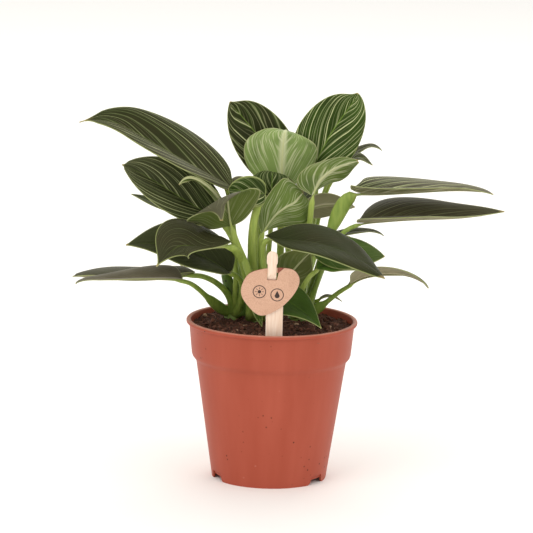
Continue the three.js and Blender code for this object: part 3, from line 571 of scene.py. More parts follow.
soil_profile = [
    (0, PLATE_TOP + GAP), (body_radius(PLATE_TOP) - WALL - GAP, PLATE_TOP + GAP),
    (BODY_TOP_RADIUS - WALL - GAP, step_low), (COLLAR_LOW_RADIUS - WALL - GAP, step_high),
]
rings = int(edge_radius / SOIL_RING_SPACING)
soil_profile += [(edge_radius * (1 - ring / rings), edge_height) for ring in range(rings + 1)]
soil_shape = spin_profile(soil_profile, SOIL_STEPS)
for vertex in soil_shape.verts:
    if vertex.co.z > (edge_height - 0.01) * MM:
        x, y = vertex.co.x / MM, vertex.co.y / MM
        vertex.co.z = (soil_height(x, y) + clods(x, y)) * MM
print("the soil's top has", rings, "rings")

# %% [markdown]
# Damp peat is nearly black, with paler brown fibres. It has no gloss at all, so its roughness is
# high, and the fine bump comes from the same noise as its colour. Crumbs carry their own shade as a
# number on each point, so that one material gives black crumbs, brown ones and a few pale ones.

# %% Peat
peat, tree, shader = new_material("damp_peat", 0.95)
place = add_node(tree, "TexCoord").outputs["Object"]
coarse = add_node(tree, "TexNoise", inputs={
    "Vector": place, "Scale": 380.0, "Detail": 6.0, "Roughness": 0.7})
shade = attribute(tree, "shade")
mixed = maths(tree, "MULTIPLY_ADD", coarse, 0.5, shade)
peat_tone = ramp(tree, mixed, [(0.16, "#3b1f14"), (0.36, "#5e392a"), (0.62, "#845542"), (0.9, "#b8997f")])
dress(tree, shader, peat_tone, coarse, strength=0.7, distance=0.0012)

soil = finish_piece("peat", soil_shape, [peat], ["soil"])
print("the soil has", len(soil.data.polygons), "faces")

# %% [markdown]
# Noise alone looks like melted chocolate, so loose crumbs are laid over the clods. A crumb is an
# icosphere of twenty faces, squashed, turned and with its corners pushed about. Small crumbs are far
# more common than big ones, and one in forty is a pale chip. All of them are one mesh.

# %% Crumbs
CRUMBS = 1500
CRUMB_SIZES = (0.4, 2.3)
CRUMB_SHADES = [0.0, 0.05, 0.1, 0.18, 0.3]
CRUMB_JAG = 0.25
CHIP_EVERY = 40
CHIP_SHADE = 0.62
chance = random.Random(11)


def on_soil(margin):
    """A random place on the soil that is at least margin inside its edge, in millimetres."""
    angle = chance.uniform(0, 2 * math.pi)
    radius = (edge_radius - margin) * math.sqrt(chance.random())
    x, y = radius * math.cos(angle), radius * math.sin(angle)
    return Vector((x, y, soil_height(x, y) + clods(x, y)))


crumb_shape = bmesh.new()
shade_layer = crumb_shape.verts.layers.float.new("shade")
for crumb in range(CRUMBS):
    size = CRUMB_SIZES[0] + (CRUMB_SIZES[1] - CRUMB_SIZES[0]) * chance.random() ** 3
    squash = Matrix.Diagonal((1, chance.uniform(0.6, 1), chance.uniform(0.5, 0.9), 1))
    angle = chance.uniform(0, 6.3)
    turn = Matrix.Rotation(angle, 4, (chance.random(), chance.random(), chance.random() + 0.1))
    place = Matrix.Translation((on_soil(size) + Vector((0, 0, size * 0.2))) * MM)
    made = bmesh.ops.create_icosphere(crumb_shape, subdivisions=1, radius=size * MM,
                                      matrix=place @ turn @ squash)
    tone = chance.choice(CRUMB_SHADES) if crumb % CHIP_EVERY else CHIP_SHADE
    for vertex in made["verts"]:
        vertex[shade_layer] = tone
        vertex.co += Vector([chance.uniform(-CRUMB_JAG, CRUMB_JAG) * size * MM for axis in range(3)])
crumbs = finish_piece("peat_crumbs", crumb_shape, [peat], smooth=False)
print(CRUMBS, "crumbs,", len(crumbs.data.polygons), "faces")

# %% [markdown]
# Peat holds threads of old root and moss. Each thread is a thin tube that wanders over the clods,
# turning by the same small angle at every step.

# %% Fibres
FIBRES = 110
FIBRE_STEPS = 6
FIBRE_MARGIN = 8

fibre_shape = bmesh.new()
shade_layer = fibre_shape.verts.layers.float.new("shade")
for fibre in range(FIBRES):
    radius = chance.uniform(0.12, 0.3)
    step = chance.uniform(1.0, 2.6)
    heading = chance.uniform(0, 2 * math.pi)
    bend = chance.uniform(-0.5, 0.5)
    spots = [on_soil(FIBRE_MARGIN)]
    for count in range(FIBRE_STEPS):
        heading += bend
        spot = spots[-1] + Vector((math.cos(heading), math.sin(heading), 0)) * step
        spot.z = soil_height(spot.x, spot.y) + clods(spot.x, spot.y) + radius
        spots.append(spot)
    tone = chance.uniform(0.15, 0.5)
    for vertex in sweep(fibre_shape, spots, [(radius, radius)] * len(spots), sides=4):
        vertex[shade_layer] = tone
fibres = finish_piece("peat_fibres", fibre_shape, [peat])
print(FIBRES, "fibres,", len(fibres.data.polygons), "faces")

# %% [markdown]
# The plant has three crowns. Every leaf is one blade on one petiole, and most blades are described
# by a few driving numbers, and what a leaf doesn't say is as in the plain leaf:
# midrib is four points that the midrib passes through, from base to tip, in millimetres;
# face is the way that the upper face looks, at the base and at the tip;
# halves holds the widths of the left and the right half;
# folds holds the angles that each half rises at, at the base and at the tip;
# taper says how the blade narrows to its base and to its tip;
# sweep is how far the base's lobes reach back, as a share of the length, and hook how far the tip
# bends down;
# petiole and radii are three points of the leaf's stalk and its radius at the foot and at the blade.
# The rest follows from a formula. Three young blades twist too much for that, so they have a net:
# rows of three places from base to tip, over the left edge, the midrib and the right edge.

# %% Crowns and leaves
CROWNS = {
    "left": dict(place=(-27, 20), radii=(8.5, 6.5)),
    "middle": dict(place=(-9, 9), radii=(9, 7)),
    "right": dict(place=(19, 18), radii=(9, 7.5)),
}
CROWN_FOOT = 92
CROWN_TOP = 114
STOCK = [(-22, 18, 112), (-24, 17, 120), (-29, 15, 130), (-33, 14, 141)]
STOCK_RADII = (6.5, 3.5)
PLAIN_LEAF = dict(
    folds=((10, 10), (10, 10)), taper=(0.5, 0.9), sweep=0.02, hook=0, midrib=[], face=[], net=[])

LEAVES = {
    "left_long": dict(
        crown="left", halves=(26, 28), folds=((15, 15), (10, 35)), taper=(0.65, 1.1), hook=15,
        midrib=[(-31, 1, 206), (-59, -1, 221), (-98, 0, 243), (-129, -3, 260)],
        face=[(0.7, -0.2, 0.7), (0.1, -0.5, 0.9)],
        petiole=[(-27, 17, 112), (-25, 13, 141), (-29, 8, 178)], radii=(2.6, 2)),
    "left_middle": dict(
        crown="left", halves=(23, 23), folds=((30, 25), (20, 20)), taper=(0.8, 1),
        midrib=[(-36, 8, 182), (-60, 6, 193), (-85, 7, 208), (-107, 11, 218)],
        face=[(0.4, -0.8, 0.5), (0.4, -0.8, 0.3)], petiole=[(-25, 16, 112), (-21, 6, 136), (-25, 5, 159)],
        radii=(2.6, 2)),
    "left_sliver": dict(
        crown="left", halves=(7, 7), sweep=0.05,
        midrib=[(-55, 26, 176), (-72, 28, 183), (-88, 30, 189), (-101, 30, 194)],
        face=[(0.3, -0.3, 0.9), (0.3, -0.3, 0.9)],
        petiole=[(-28, 22, 112), (-24, 16, 131), (-33, 20, 157)], radii=(2.4, 1.4)),
    "left_hooded": dict(
        crown="middle",
        net=[
            [(-29, -22, 182), (-30, -22, 182), (-32, -22, 182)],
            [(-20, -24, 188), (-31, -28, 190), (-44, -24, 180)],
            [(-13, -29, 199), (-32, -36, 199), (-53, -34, 186)],
            [(-10, -37, 210), (-33, -44, 207), (-60, -44, 189)],
            [(-19, -43, 212), (-33, -51, 206), (-54, -48, 194)],
            [(-32, -50, 205), (-36, -55, 202), (-44, -51, 197)],
            [(-34, -54, 199), (-36, -56, 198), (-39, -54, 195)],
            [(-35, -57, 192), (-36, -57, 192), (-37, -57, 192)],
        ],
        petiole=[(-14, 6, 112), (-14, -18, 140), (-21, -24, 160)], radii=(3, 2.3)),
    "left_curled": dict(
        crown="left", halves=(2, 10), folds=((15, 15), (25, 25)), taper=(0.4, 0.9), sweep=0.05,
        midrib=[(-36, -24, 198), (-44, -30, 209), (-56, -33, 217), (-66, -32, 212)],
        face=[(0, 0.4, 0.8), (0.5, 0.8, 0.3)], petiole=[(-27, 18, 112), (-26, 4, 139), (-28, -8, 169)],
        radii=(2, 1.3)),
    "centre_arched": dict(
        crown="middle", halves=(12, 11), folds=((10, 10), (5, 10)), taper=(0.5, 0.8), sweep=0.05,
        midrib=[(-7, -16, 204), (-16, -19, 206), (-25, -19, 207), (-32, -16, 207)],
        face=[(0.6, -0.7, 0.3), (-0.2, -0.9, 0.4)],
        petiole=[(-12, 7, 112), (-14, -9, 145), (-15, -16, 177)], radii=(3.4, 2.6)),
    "centre_lobe": dict(
        crown="middle", halves=(6, 6), sweep=0,
        midrib=[(-13, 8, 202), (-21, 9, 206), (-27, 9, 208), (-31, 9, 207)],
        face=[(-0.1, -0.6, 0.8), (-0.1, -0.6, 0.8)],
        petiole=[(-11, 8, 112), (-11, 3, 144), (-12, 5, 166)], radii=(2, 1.4)),
    "centre_inner": dict(
        crown="middle", halves=(18, 18), folds=((5, 5), (5, 5)), taper=(0.5, 0.7), sweep=0.03,
        midrib=[(-2, 18, 184), (-2, 17, 197), (-2, 18, 208), (-1, 22, 213)],
        face=[(0, -0.9, 0.4), (0, -0.5, 0.9)], petiole=[(-5, 12, 112), (-5, 16, 135), (-3, 18, 161)],
        radii=(2.2, 1.6)),
    "centre_lower": dict(
        crown="middle",
        net=[
            [(-6, -9, 177), (-8, -9, 175), (-9, -9, 176)],
            [(3, 0, 178), (-4, -6, 181), (-11, -2, 182)],
            [(13, 4, 179), (1, -2, 187), (-10, 3, 192)],
            [(22, 7, 180), (8, 1, 192), (-5, 6, 199)],
            [(25, 9, 187), (14, 4, 195), (1, 8, 207)],
            [(26, 10, 193), (17, 7, 198), (8, 11, 211)],
            [(20, 10, 200), (20, 10, 201), (20, 10, 202)],
        ],
        petiole=[(-8, 8, 112), (-8, -2, 137), (-9, -8, 160)], radii=(2.4, 1.8)),
    "centre_round": dict(
        crown="middle", halves=(25, 28), folds=((15, 5), (15, 5)), hook=-3,
        midrib=[(5, 30, 201), (5, 26, 226), (6, 29, 239), (8, 39, 243)],
        face=[(0, 0.8, -0.4), (0, 0.7, -0.7)], petiole=[(-4, 12, 112), (4, 24, 137), (5, 28, 170)],
        radii=(2.8, 2.4)),
    "top_left": dict(
        crown="middle", halves=(21, 20), folds=((10, 25), (10, 10)), taper=(0.35, 0.9), sweep=0.03,
        hook=2, midrib=[(5, 44, 209), (-13, 48, 235), (-26, 49, 250), (-32, 47, 258)],
        face=[(0, -0.9, 0.3), (0.1, -0.8, 0.3)], petiole=[(-9, 13, 112), (-12, 36, 142), (-9, 43, 180)],
        radii=(2.6, 2)),
    "top_right": dict(
        crown="right", halves=(23, 22), folds=((10, 15), (15, 10)), taper=(0.3, 0.8), sweep=0.03, hook=2,
        midrib=[(29, 37, 218), (40, 42, 240), (51, 46, 256), (57, 45, 266)],
        face=[(0, -0.9, 0.3), (0.2, -1, 0.2)], petiole=[(19, 20, 112), (24, 32, 144), (28, 36, 182)],
        radii=(2.6, 2)),
    "right_folded": dict(
        crown="right",
        net=[
            [(27, 1, 202), (26, 0, 201), (24, 1, 202)],
            [(32, 8, 205), (29, 3, 206), (16, 8, 206)],
            [(40, 13, 208), (32, 6, 211), (17, 11, 214)],
            [(46, 17, 209), (38, 10, 216), (25, 14, 220)],
            [(51, 20, 212), (44, 14, 219), (35, 18, 223)],
            [(55, 22, 217), (51, 18, 221), (46, 22, 225)],
            [(59, 24, 221), (58, 24, 222), (58, 24, 223)],
        ],
        petiole=[(17, 17, 112), (19, 14, 136), (24, 8, 169)], radii=(2.6, 2)),
    "right_tip_low": dict(
        crown="right", halves=(6, 6), folds=((5, 10), (10, 10)), sweep=0.05,
        midrib=[(50, 53, 214), (57, 49, 220), (62, 48, 220), (69, 50, 215)],
        face=[(-0.5, -0.2, 0.9), (0.6, -0.4, 0.7)], petiole=[(21, 22, 112), (27, 42, 143), (34, 49, 187)],
        radii=(2, 1.2)),
    "right_tip_high": dict(
        crown="right", halves=(6, 7), folds=((10, 10), (5, 10)), sweep=0.05,
        midrib=[(43, 62, 212), (58, 65, 222), (68, 66, 226), (76, 66, 223)],
        face=[(-0.6, -0.1, 0.8), (0.5, -0.1, 0.8)], petiole=[(20, 22, 112), (25, 48, 143), (33, 60, 185)],
        radii=(2, 1.2)),
    "middle_underside": dict(
        crown="middle", halves=(14, 14),
        midrib=[(7, -3, 140), (14, -3, 148), (20, -3, 155), (26, -3, 161)],
        face=[(0, 1, -0.1), (-0.3, 0.9, -0.4)], petiole=[(-5, 6, 112), (2, 1, 122), (5, -4, 134)],
        radii=(2.4, 1.8)),
    "right_upper": dict(
        crown="right", halves=(25, 17), folds=((20, 10), (30, 5)), taper=(0.4, 0.8), sweep=0.03, hook=2,
        midrib=[(56, 10, 203), (80, 4, 203), (118, -3, 207), (152, -11, 208)],
        face=[(0.2, -0.1, 0.7), (0, 0.1, 1)], petiole=[(22, 16, 112), (31, 14, 143), (42, 12, 181)],
        radii=(4, 2.4)),
    "right_lower": dict(
        crown="right", halves=(27, 17), folds=((15, 30), (20, 25)), hook=-8,
        midrib=[(60, 3, 182), (81, 1, 184), (114, 1, 186), (160, -1, 185)],
        face=[(-0.1, 0, 1), (-0.2, -0.2, 0.9)], petiole=[(22, 15, 112), (32, 8, 140), (43, 6, 167)],
        radii=(2.6, 1.6)),
    "right_behind": dict(
        crown="right", halves=(9, 9), sweep=0.05,
        midrib=[(24, 24, 186), (34, 28, 189), (45, 32, 189), (57, 36, 187)],
        face=[(-0.6, 0.8, -0.2), (-0.5, 0.9, 0.1)], petiole=[(19, 22, 112), (21, 25, 135), (21, 22, 165)],
        radii=(2.2, 1.5)),
    "front_right": dict(
        crown="middle", halves=(25, 22), folds=((30, -20), (20, -10)), taper=(1.2, 0.7), sweep=0,
        midrib=[(-6, -34, 178), (16, -41, 176), (43, -56, 174), (76, -77, 158)],
        face=[(-0.3, -0.3, 0.9), (0.5, -0.2, 0.6)],
        petiole=[(-6, 5, 112), (-5, -14, 136), (-7, -24, 160)], radii=(2.6, 2)),
    "front_right_second": dict(
        crown="right", halves=(15, 15), folds=((10, 10), (5, 5)), sweep=0.05,
        midrib=[(32, 0, 165), (50, -10, 161), (65, -20, 161), (77, -28, 164)],
        face=[(-0.3, -0.5, 0.8), (-0.2, -0.4, 0.8)], petiole=[(18, 15, 112), (19, 10, 136), (24, 6, 154)],
        radii=(2.2, 1.6)),
    "right_small": dict(
        crown="right", halves=(7, 7), sweep=0.05, hook=2,
        midrib=[(33, 23, 165), (51, 24, 170), (66, 24, 172), (78, 23, 171)],
        face=[(-0.5, -0.1, 0.9), (0.4, -0.1, 0.9)], petiole=[(20, 21, 112), (23, 24, 134), (27, 24, 156)],
        radii=(2, 1.2)),
    "right_bright": dict(
        crown="right", halves=(12, 12), taper=(0.8, 0.9),
        midrib=[(31, -10, 151), (41, -10, 155), (51, -12, 155), (62, -14, 152)],
        face=[(-0.3, -0.4, 0.8), (0.1, -0.5, 0.9)],
        petiole=[(17, 14, 112), (18, -6, 127), (23, -12, 142)], radii=(2.2, 1.6)),
    "right_arching": dict(
        crown="right", halves=(15, 16), folds=((15, 0), (10, 5)), taper=(0.4, 0.6), sweep=0.03, hook=2,
        midrib=[(55, 1, 139), (70, 0, 145), (91, -5, 147), (110, -4, 139)],
        face=[(0.1, 0.3, 0.7), (0.6, 0.1, 0.8)], petiole=[(22, 16, 112), (35, 8, 121), (45, 6, 130)],
        radii=(2.2, 1.6)),
    "right_withered": dict(
        crown="right", halves=(4, 4), sweep=0,
        midrib=[(33, 18, 124), (38, 17, 126), (43, 16, 126), (49, 15, 123)],
        face=[(-0.3, 0, 0.9), (0.7, 0, 0.7)], petiole=[(22, 20, 112), (25, 21, 117), (29, 20, 121)],
        radii=(1.8, 1.2)),
    "front_low": dict(
        crown="middle", halves=(14, 17), folds=((10, 5), (5, 15)), taper=(0.7, 1.1),
        midrib=[(-2, -24, 138), (9, -28, 132), (21, -36, 126), (34, -46, 116)],
        face=[(-0.1, -0.6, 0.8), (0.6, -0.7, 0.5)],
        petiole=[(-6, 5, 112), (-3, -10, 122), (-2, -18, 133)], radii=(2.2, 1.6)),
    "front_sprout": dict(
        crown="middle", halves=(3.2, 3.2), sweep=0,
        midrib=[(-11, -24, 131), (-11, -26, 125), (-9, -28, 119), (-7, -30, 113)],
        face=[(0, -1, 0.3), (0, -0.9, 0.3)], petiole=[(-10, 5, 112), (-11, -8, 120), (-11, -18, 128)],
        radii=(1.8, 1.2)),
    "front_left": dict(
        crown="middle", halves=(21, 30), folds=((20, 10), (0, 10)), taper=(0.9, 1.3), sweep=0, hook=-5,
        midrib=[(-29, -49, 176), (-53, -50, 172), (-66, -52, 172), (-78, -66, 158)],
        face=[(0.5, -0.1, 0.9), (-0.2, -0.4, 0.2)],
        petiole=[(-14, 8, 112), (-17, -8, 138), (-22, -22, 158)], radii=(3.4, 2.4)),
    "left_low": dict(
        crown="left", halves=(24, 25), folds=((15, 5), (15, 15)), taper=(0.6, 1.1), sweep=0.03,
        midrib=[(-31, -18, 149), (-53, -17, 161), (-76, -22, 168), (-102, -32, 169)],
        face=[(0.5, -0.3, 0.7), (-0.1, -0.6, 0.8)],
        petiole=[(-25, 17, 112), (-21, 2, 131), (-24, -8, 143)], radii=(2.4, 1.8)),
    "left_flat_upper": dict(
        crown="left", halves=(9, 20), folds=((30, 15), (20, 15)), taper=(0.6, 0.7), hook=2,
        midrib=[(-56, 1, 144), (-88, -6, 140), (-116, -11, 141), (-139, -16, 145)],
        face=[(0, 0, 1), (-0.3, 0, 0.9)], petiole=[(-28, 18, 112), (-33, 8, 130), (-45, 2, 140)],
        radii=(2.6, 1.9)),
    "left_flat_lower": dict(
        crown="left", halves=(9, 14), folds=((20, 0), (30, 0)), taper=(0.4, 1.1), hook=5,
        midrib=[(-64, -22, 144), (-94, -25, 144), (-121, -30, 144), (-136, -38, 147)],
        face=[(0.2, -0.1, 0.9), (-0.3, 0, 0.9)], petiole=[(-30, 20, 112), (-42, 3, 123), (-53, -11, 136)],
        radii=(2.4, 1.6)),
    "back_right": dict(
        crown="right", halves=(17, 17), folds=((15, 15), (15, 15)), sweep=0.04,
        midrib=[(30, 54, 152), (38, 68, 155), (45, 84, 150), (51, 99, 138)],
        face=[(-0.5, -0.4, 1), (0.3, 0.4, 1)], petiole=[(20, 22, 112), (23, 38, 127), (27, 46, 141)],
        radii=(2.6, 1.8)),
    "back_left": dict(
        crown="left", halves=(21, 21), folds=((15, 15), (15, 15)), sweep=0.04,
        midrib=[(-40, 46, 144), (-50, 61, 147), (-59, 77, 143), (-66, 92, 131)],
        face=[(0.5, -0.4, 1), (-0.3, 0.4, 1)], petiole=[(-28, 23, 112), (-28, 34, 123), (-33, 41, 136)],
        radii=(2.6, 1.8)),
    "back_high": dict(
        crown="right", halves=(22, 22), folds=((15, 15), (15, 15)), sweep=0.04,
        midrib=[(8, 58, 178), (8, 78, 188), (9, 98, 188), (11, 116, 176)],
        face=[(0, -0.5, 1), (0, 0.5, 1)], petiole=[(16, 21, 112), (13, 38, 132), (10, 50, 158)],
        radii=(2.6, 1.8)),
    "back_low": dict(
        crown="right", halves=(14, 14), folds=((15, 15), (15, 15)), sweep=0.04,
        midrib=[(14, 56, 138), (15, 71, 141), (17, 86, 136), (19, 99, 123)],
        face=[(0, -0.4, 1), (0.1, 0.6, 1)], petiole=[(17, 23, 112), (17, 36, 118), (15, 47, 128)],
        radii=(2.4, 1.6)),
}
for name, own in LEAVES.items():
    leaf = LEAVES[name] = {**PLAIN_LEAF, **own}
    for key in ("midrib", "face", "petiole"):
        leaf[key] = [Vector(point) for point in leaf[key]]
    leaf["net"] = [[Vector(point) for point in row] for row in leaf["net"]]
STOCK = [Vector(point) for point in STOCK]
print(len(LEAVES), "leaves,", sum(1 for leaf in LEAVES.values() if leaf["net"]), "of them with a net")

# %% [markdown]
# No two leaves of the plant look alike, so each has a few numbers for its finish:
# stripes is how strong the cream pinstripes are, and the pale streaks of the underside with them;
# slope is how far a side vein runs on towards the tip for each millimetre that it goes aside;
# fresh turns the upper face from olive brown to bright green;
# rib is how clearly the midrib shows above, and how wide its pale band is below;
# grey turns the underside from fresh green to a greyish beige, and its petiole darker with age;
# the last is three numbers that lay a painted grey sheen on the left half, the right half and the tip.

# %% The leaves' looks
LOOK_NAMES = ("stripes", "slope", "fresh", "rib", "grey", "dusk")
LOOKS = {
    "left_long": (0.75, 3.0, 0.12, 0.2, 0.6, (0.3, 0, 0)),
    "left_middle": (0.95, 2.4, 0.3, 0.35, 0.5, (0, 0, 0.35)),
    "left_sliver": (0.3, 2.0, 0.4, 0.3, 0.5, (0.3, 0.3, 0.3)),
    "left_hooded": (0.25, 1.6, 0.25, 0.2, 0.35, (0.8, 0.5, 0.8)),
    "left_curled": (0.4, 1.6, 0.8, 0.3, 0.3, (0, 0, 0)),
    "centre_arched": (0.8, 1.6, 0.45, 0.3, 0.2, (0, 0, 0)),
    "centre_lobe": (0.1, 1.6, 0.2, 0.2, 0.2, (0.7, 0.7, 0.7)),
    "centre_inner": (0.8, 1.6, 0.4, 0.4, 0.2, (0, 0, 0)),
    "centre_lower": (0.5, 1.6, 0.4, 0.15, 0.28, (0, 0, 0.2)),
    "centre_round": (0.7, 1.6, 0.4, 1, 0, (0, 0, 0)),
    "top_left": (0.95, 1.8, 0.16, 0.45, 0.3, (0, 0, 0)),
    "top_right": (1.5, 1.8, 0.5, 0.5, 0.3, (0, 0, 0)),
    "right_folded": (0.6, 1.6, 0.4, 0.5, 0.3, (0, 0, 0)),
    "right_tip_low": (0.5, 2.0, 0.3, 0.4, 0.5, (0.3, 0.3, 0.5)),
    "right_tip_high": (0.2, 2.0, 0.2, 0.3, 0.5, (0.3, 0.4, 0.4)),
    "middle_underside": (0.15, 1.6, 0.4, 0, 0.42, (0, 0, 0)),
    "right_upper": (1.6, 2.4, 0.1, 0.4, 0.8, (0, 0, 0.9)),
    "right_lower": (0.3, 2.4, 0.05, 0.25, 0.95, (0.2, 0.3, 0.4)),
    "right_behind": (0.1, 1.8, 0.3, 0.3, 0.85, (0.2, 0.2, 0.4)),
    "front_right": (0.04, 2.0, 0.15, 0.06, 0.5, (0, 0, 0)),
    "front_right_second": (0.08, 2.0, 0.62, 0.15, 0.5, (0, 0, 0.35)),
    "right_small": (0.1, 2.0, 0.25, 0.2, 0.6, (0.3, 0.3, 0.4)),
    "right_bright": (0.1, 1.8, 0.9, 0.3, 0.3, (0, 0, 0)),
    "right_arching": (0.2, 2.0, 0.3, 0.3, 0.95, (0.2, 0.2, 0.4)),
    "right_withered": (0, 2.0, 0, 0.1, 0.5, (0.3, 0.3, 0.3)),
    "front_low": (0.03, 1.8, 0.55, 0.15, 0.3, (0, 0, 0)),
    "front_sprout": (0.5, 1.8, 0.6, 0.3, 0.3, (0, 0, 0)),
    "front_left": (0.15, 2.2, 0.1, 0.2, 0.6, (0.15, 0.1, 0.1)),
    "left_low": (0.05, 2.0, 0.3, 0.2, 0.5, (0.2, 0.2, 0.2)),
    "left_flat_upper": (0.12, 2.2, 0.15, 0.25, 0.8, (0.45, 0.4, 0.4)),
    "left_flat_lower": (0.05, 2.2, 0.1, 0.2, 0.9, (2.2, 1, 0.8)),
    "back_right": (0.5, 2.0, 0.3, 0.5, 0.4, (0.1, 0.3, 0.2)),
    "back_left": (0.3, 2.0, 0.3, 0.5, 0.2, (0.3, 0.1, 0.2)),
    "back_high": (0.7, 2.0, 0.3, 0.5, 0.4, (0.1, 0.1, 0.2)),
    "back_low": (0.1, 2.0, 0.5, 0.5, 0.1, (0, 0, 0)),
}
print(len(LOOKS), "leaves with looks of their own")

# %% [markdown]
# Most leaves share four more numbers, and only the exceptions are listed: the width in millimetres
# of the pale rim, how much wider apart than usual the stripes are, the share of the blade's length
# that is its brown thread tip, and the sheath. A young petiole opens into a thin wing on its upper
# side, the sheath, which is given by the shares of the petiole where it starts and ends, and by its
# height in millimetres.

# %% Rims, threads and sheaths
RIM_WIDTH = 0.7
PALE_RIMS = {"centre_arched": 1.8, "left_curled": 1.4, "left_hooded": 1.2, "front_left": 1.0}
PITCHES = {"left_long": 1.2, "top_left": 1.8, "top_right": 1.1, "right_upper": 1.2}
THREAD = 0.02
THREADS = {
    "left_long": 0.11, "left_middle": 0.05, "right_upper": 0.03,
    "left_flat_upper": 0.05, "left_flat_lower": 0.04,
}
NO_SHEATH = (0, 1, 0)
SHEATHS = {
    "right_upper": (0.6, 1, 3.2), "right_arching": (0.02, 0.4, 2.2),
    "left_flat_lower": (0, 0.45, 2), "centre_arched": (0, 0.5, 2.5),
}
for name, leaf in LEAVES.items():
    leaf.update(zip(LOOK_NAMES, LOOKS[name]))
    leaf["rim"] = PALE_RIMS.get(name, RIM_WIDTH)
    leaf["pitch"] = PITCHES.get(name, 1)
    leaf["thread"] = THREADS.get(name, THREAD)
    leaf["sheath"] = SHEATHS.get(name, NO_SHEATH)
print(len(SHEATHS), "petioles with a sheath")

# %% [markdown]
# A cubic through four points is enough for a midrib or a petiole. A smooth line through any number
# of places carries a net. Both pass through their points, which are then easy to place.

# %% Curves through points
def along_cubic(points, t):
    """The cubic through four points, at 0, 1/3, 2/3 and 1 of its run."""
    weights = (
        (1 - t) * (1 - 3 * t) * (2 - 3 * t) / 2, 9 * t * (1 - t) * (2 - 3 * t) / 2,
        9 * t * (1 - t) * (3 * t - 1) / 2, t * (3 * t - 1) * (3 * t - 2) / 2)
    return sum((point * weight for point, weight in zip(points, weights)), Vector())


def direction_at(points, t):
    """The unit direction of the cubic at t."""
    return (along_cubic(points, t + 1e-3) - along_cubic(points, t - 1e-3)).normalized()


def hermite(start, leave, end, arrive, t):
    """A place on the smooth curve from start to end that leaves and arrives in those directions."""
    return (start * (2 * t ** 3 - 3 * t ** 2 + 1) + leave * (t ** 3 - 2 * t ** 2 + t)
            + end * (3 * t ** 2 - 2 * t ** 3) + arrive * (t ** 3 - t ** 2))


def along_line(points, t):
    """The smooth line through all the points, at a share of its run."""
    last = len(points) - 1
    leg = min(int(t * last), last - 1)
    part = t * last - leg
    start, end = points[leg], points[leg + 1]
    before = points[leg - 1] if leg > 0 else start * 2 - end
    after = points[leg + 2] if leg + 2 <= last else end * 2 - start
    return hermite(start, (end - before) / 2, end, (after - start) / 2, part)


for name in ("left_long", "front_sprout"):
    print(name, "midrib halfway at", along_cubic(LEAVES[name]["midrib"], 0.5))

# %% [markdown]
# At each place along the midrib, the formula's blade has a frame of its own: forward to the tip, up
# from the upper face, and right across. Each half rises at its fold angle and bellies up a little
# between midrib and margin. The margin waves, less so where the blade is narrow. Near the base the
# halves sweep back past the petiole, and near the tip they may hook down.

# %% The blade's formula
TIP_HALF_WIDTH = 0.4
BASE_LEAD = 0.03
BASE_ROUND = 0.05
HOOK_START = 0.7
BELLY = 0.1
WAVE = 0.45
WAVE_LAG = 1.3
FULL_WAVE_HALF_WIDTH = 8
NORMAL_STEP = 0.02


def half_width(leaf, t, across):
    """The width of one half of the blade at t, from a rounded base to a pointed tip."""
    if leaf["net"]:
        return (net_place(leaf, t, math.copysign(1, across)) - net_place(leaf, t, 0)).length
    base, tip = leaf["taper"]

    def share(place):
        return (place + BASE_LEAD) ** base * (1 - place) ** tip

    widest = (base - tip * BASE_LEAD) / (base + tip)
    ends = min(t / BASE_ROUND, 1) ** 0.5 * min((1 - t) / leaf["thread"], 1)
    return max(leaf["halves"][across > 0] * share(t) / share(widest) * ends, TIP_HALF_WIDTH)


def net_place(leaf, t, across):
    """A place on a blade that has a net."""
    return along_line([along_line(row, (across + 1) / 2) for row in leaf["net"]], t)


def blade_place(leaf, t, across):
    """The blade's place at t from base to tip and across from -1 to 1."""
    if leaf["net"]:
        return net_place(leaf, t, across)
    forward = direction_at(leaf["midrib"], t)
    facing = leaf["face"][0].lerp(leaf["face"][1], t)
    up = (facing - forward * facing.dot(forward)).normalized()
    right = forward.cross(up)
    half = half_width(leaf, t, across)
    reach = abs(across)
    fold_base, fold_tip = leaf["folds"][across > 0]
    fold = math.radians(fold_base + (fold_tip - fold_base) * t)
    rise = reach * half * math.sin(fold) + BELLY * half * 4 * reach * (1 - reach)
    calm = min(1, half / FULL_WAVE_HALF_WIDTH)
    rise += WAVE * math.sin(leaf["waves"] * t + across * WAVE_LAG) * reach ** 3 * calm
    rise -= leaf["hook"] * max((t - HOOK_START) / (1 - HOOK_START), 0) ** 2
    length = (leaf["midrib"][3] - leaf["midrib"][0]).length
    back = leaf["sweep"] * length * reach ** 1.5 * (1 - t) ** 3
    aside = right * (across * half * math.cos(fold))
    return along_cubic(leaf["midrib"], t) + aside + up * rise - forward * back


def blade_normal(leaf, t, across):
    """The way the upper face looks at one place on the blade."""
    t_low, t_high = max(t - NORMAL_STEP, 0), min(t + NORMAL_STEP, 1)
    left, right = max(across - NORMAL_STEP, -1), min(across + NORMAL_STEP, 1)
    along = blade_place(leaf, t_high, across) - blade_place(leaf, t_low, across)
    aside = blade_place(leaf, t, right) - blade_place(leaf, t, left)
    return aside.cross(along).normalized()


print("left_long is", round(2 * half_width(LEAVES["left_long"], 0.4, 1), 1), "mm wide")

# %% [markdown]
# A blade starts as a flat grid whose columns crowd towards the midrib and whose rows crowd towards
# the base, and each vertex moves to its place by the formula. What the finish needs is stored on
# the mesh: a UV map, in millimetres, in which the side veins are level lines, and on each point its
# nearness to the margin and the leaf's own numbers. The veins bend towards the tip on their way out.
# The map of the right half is set off from the left one's, so that their stripes differ.

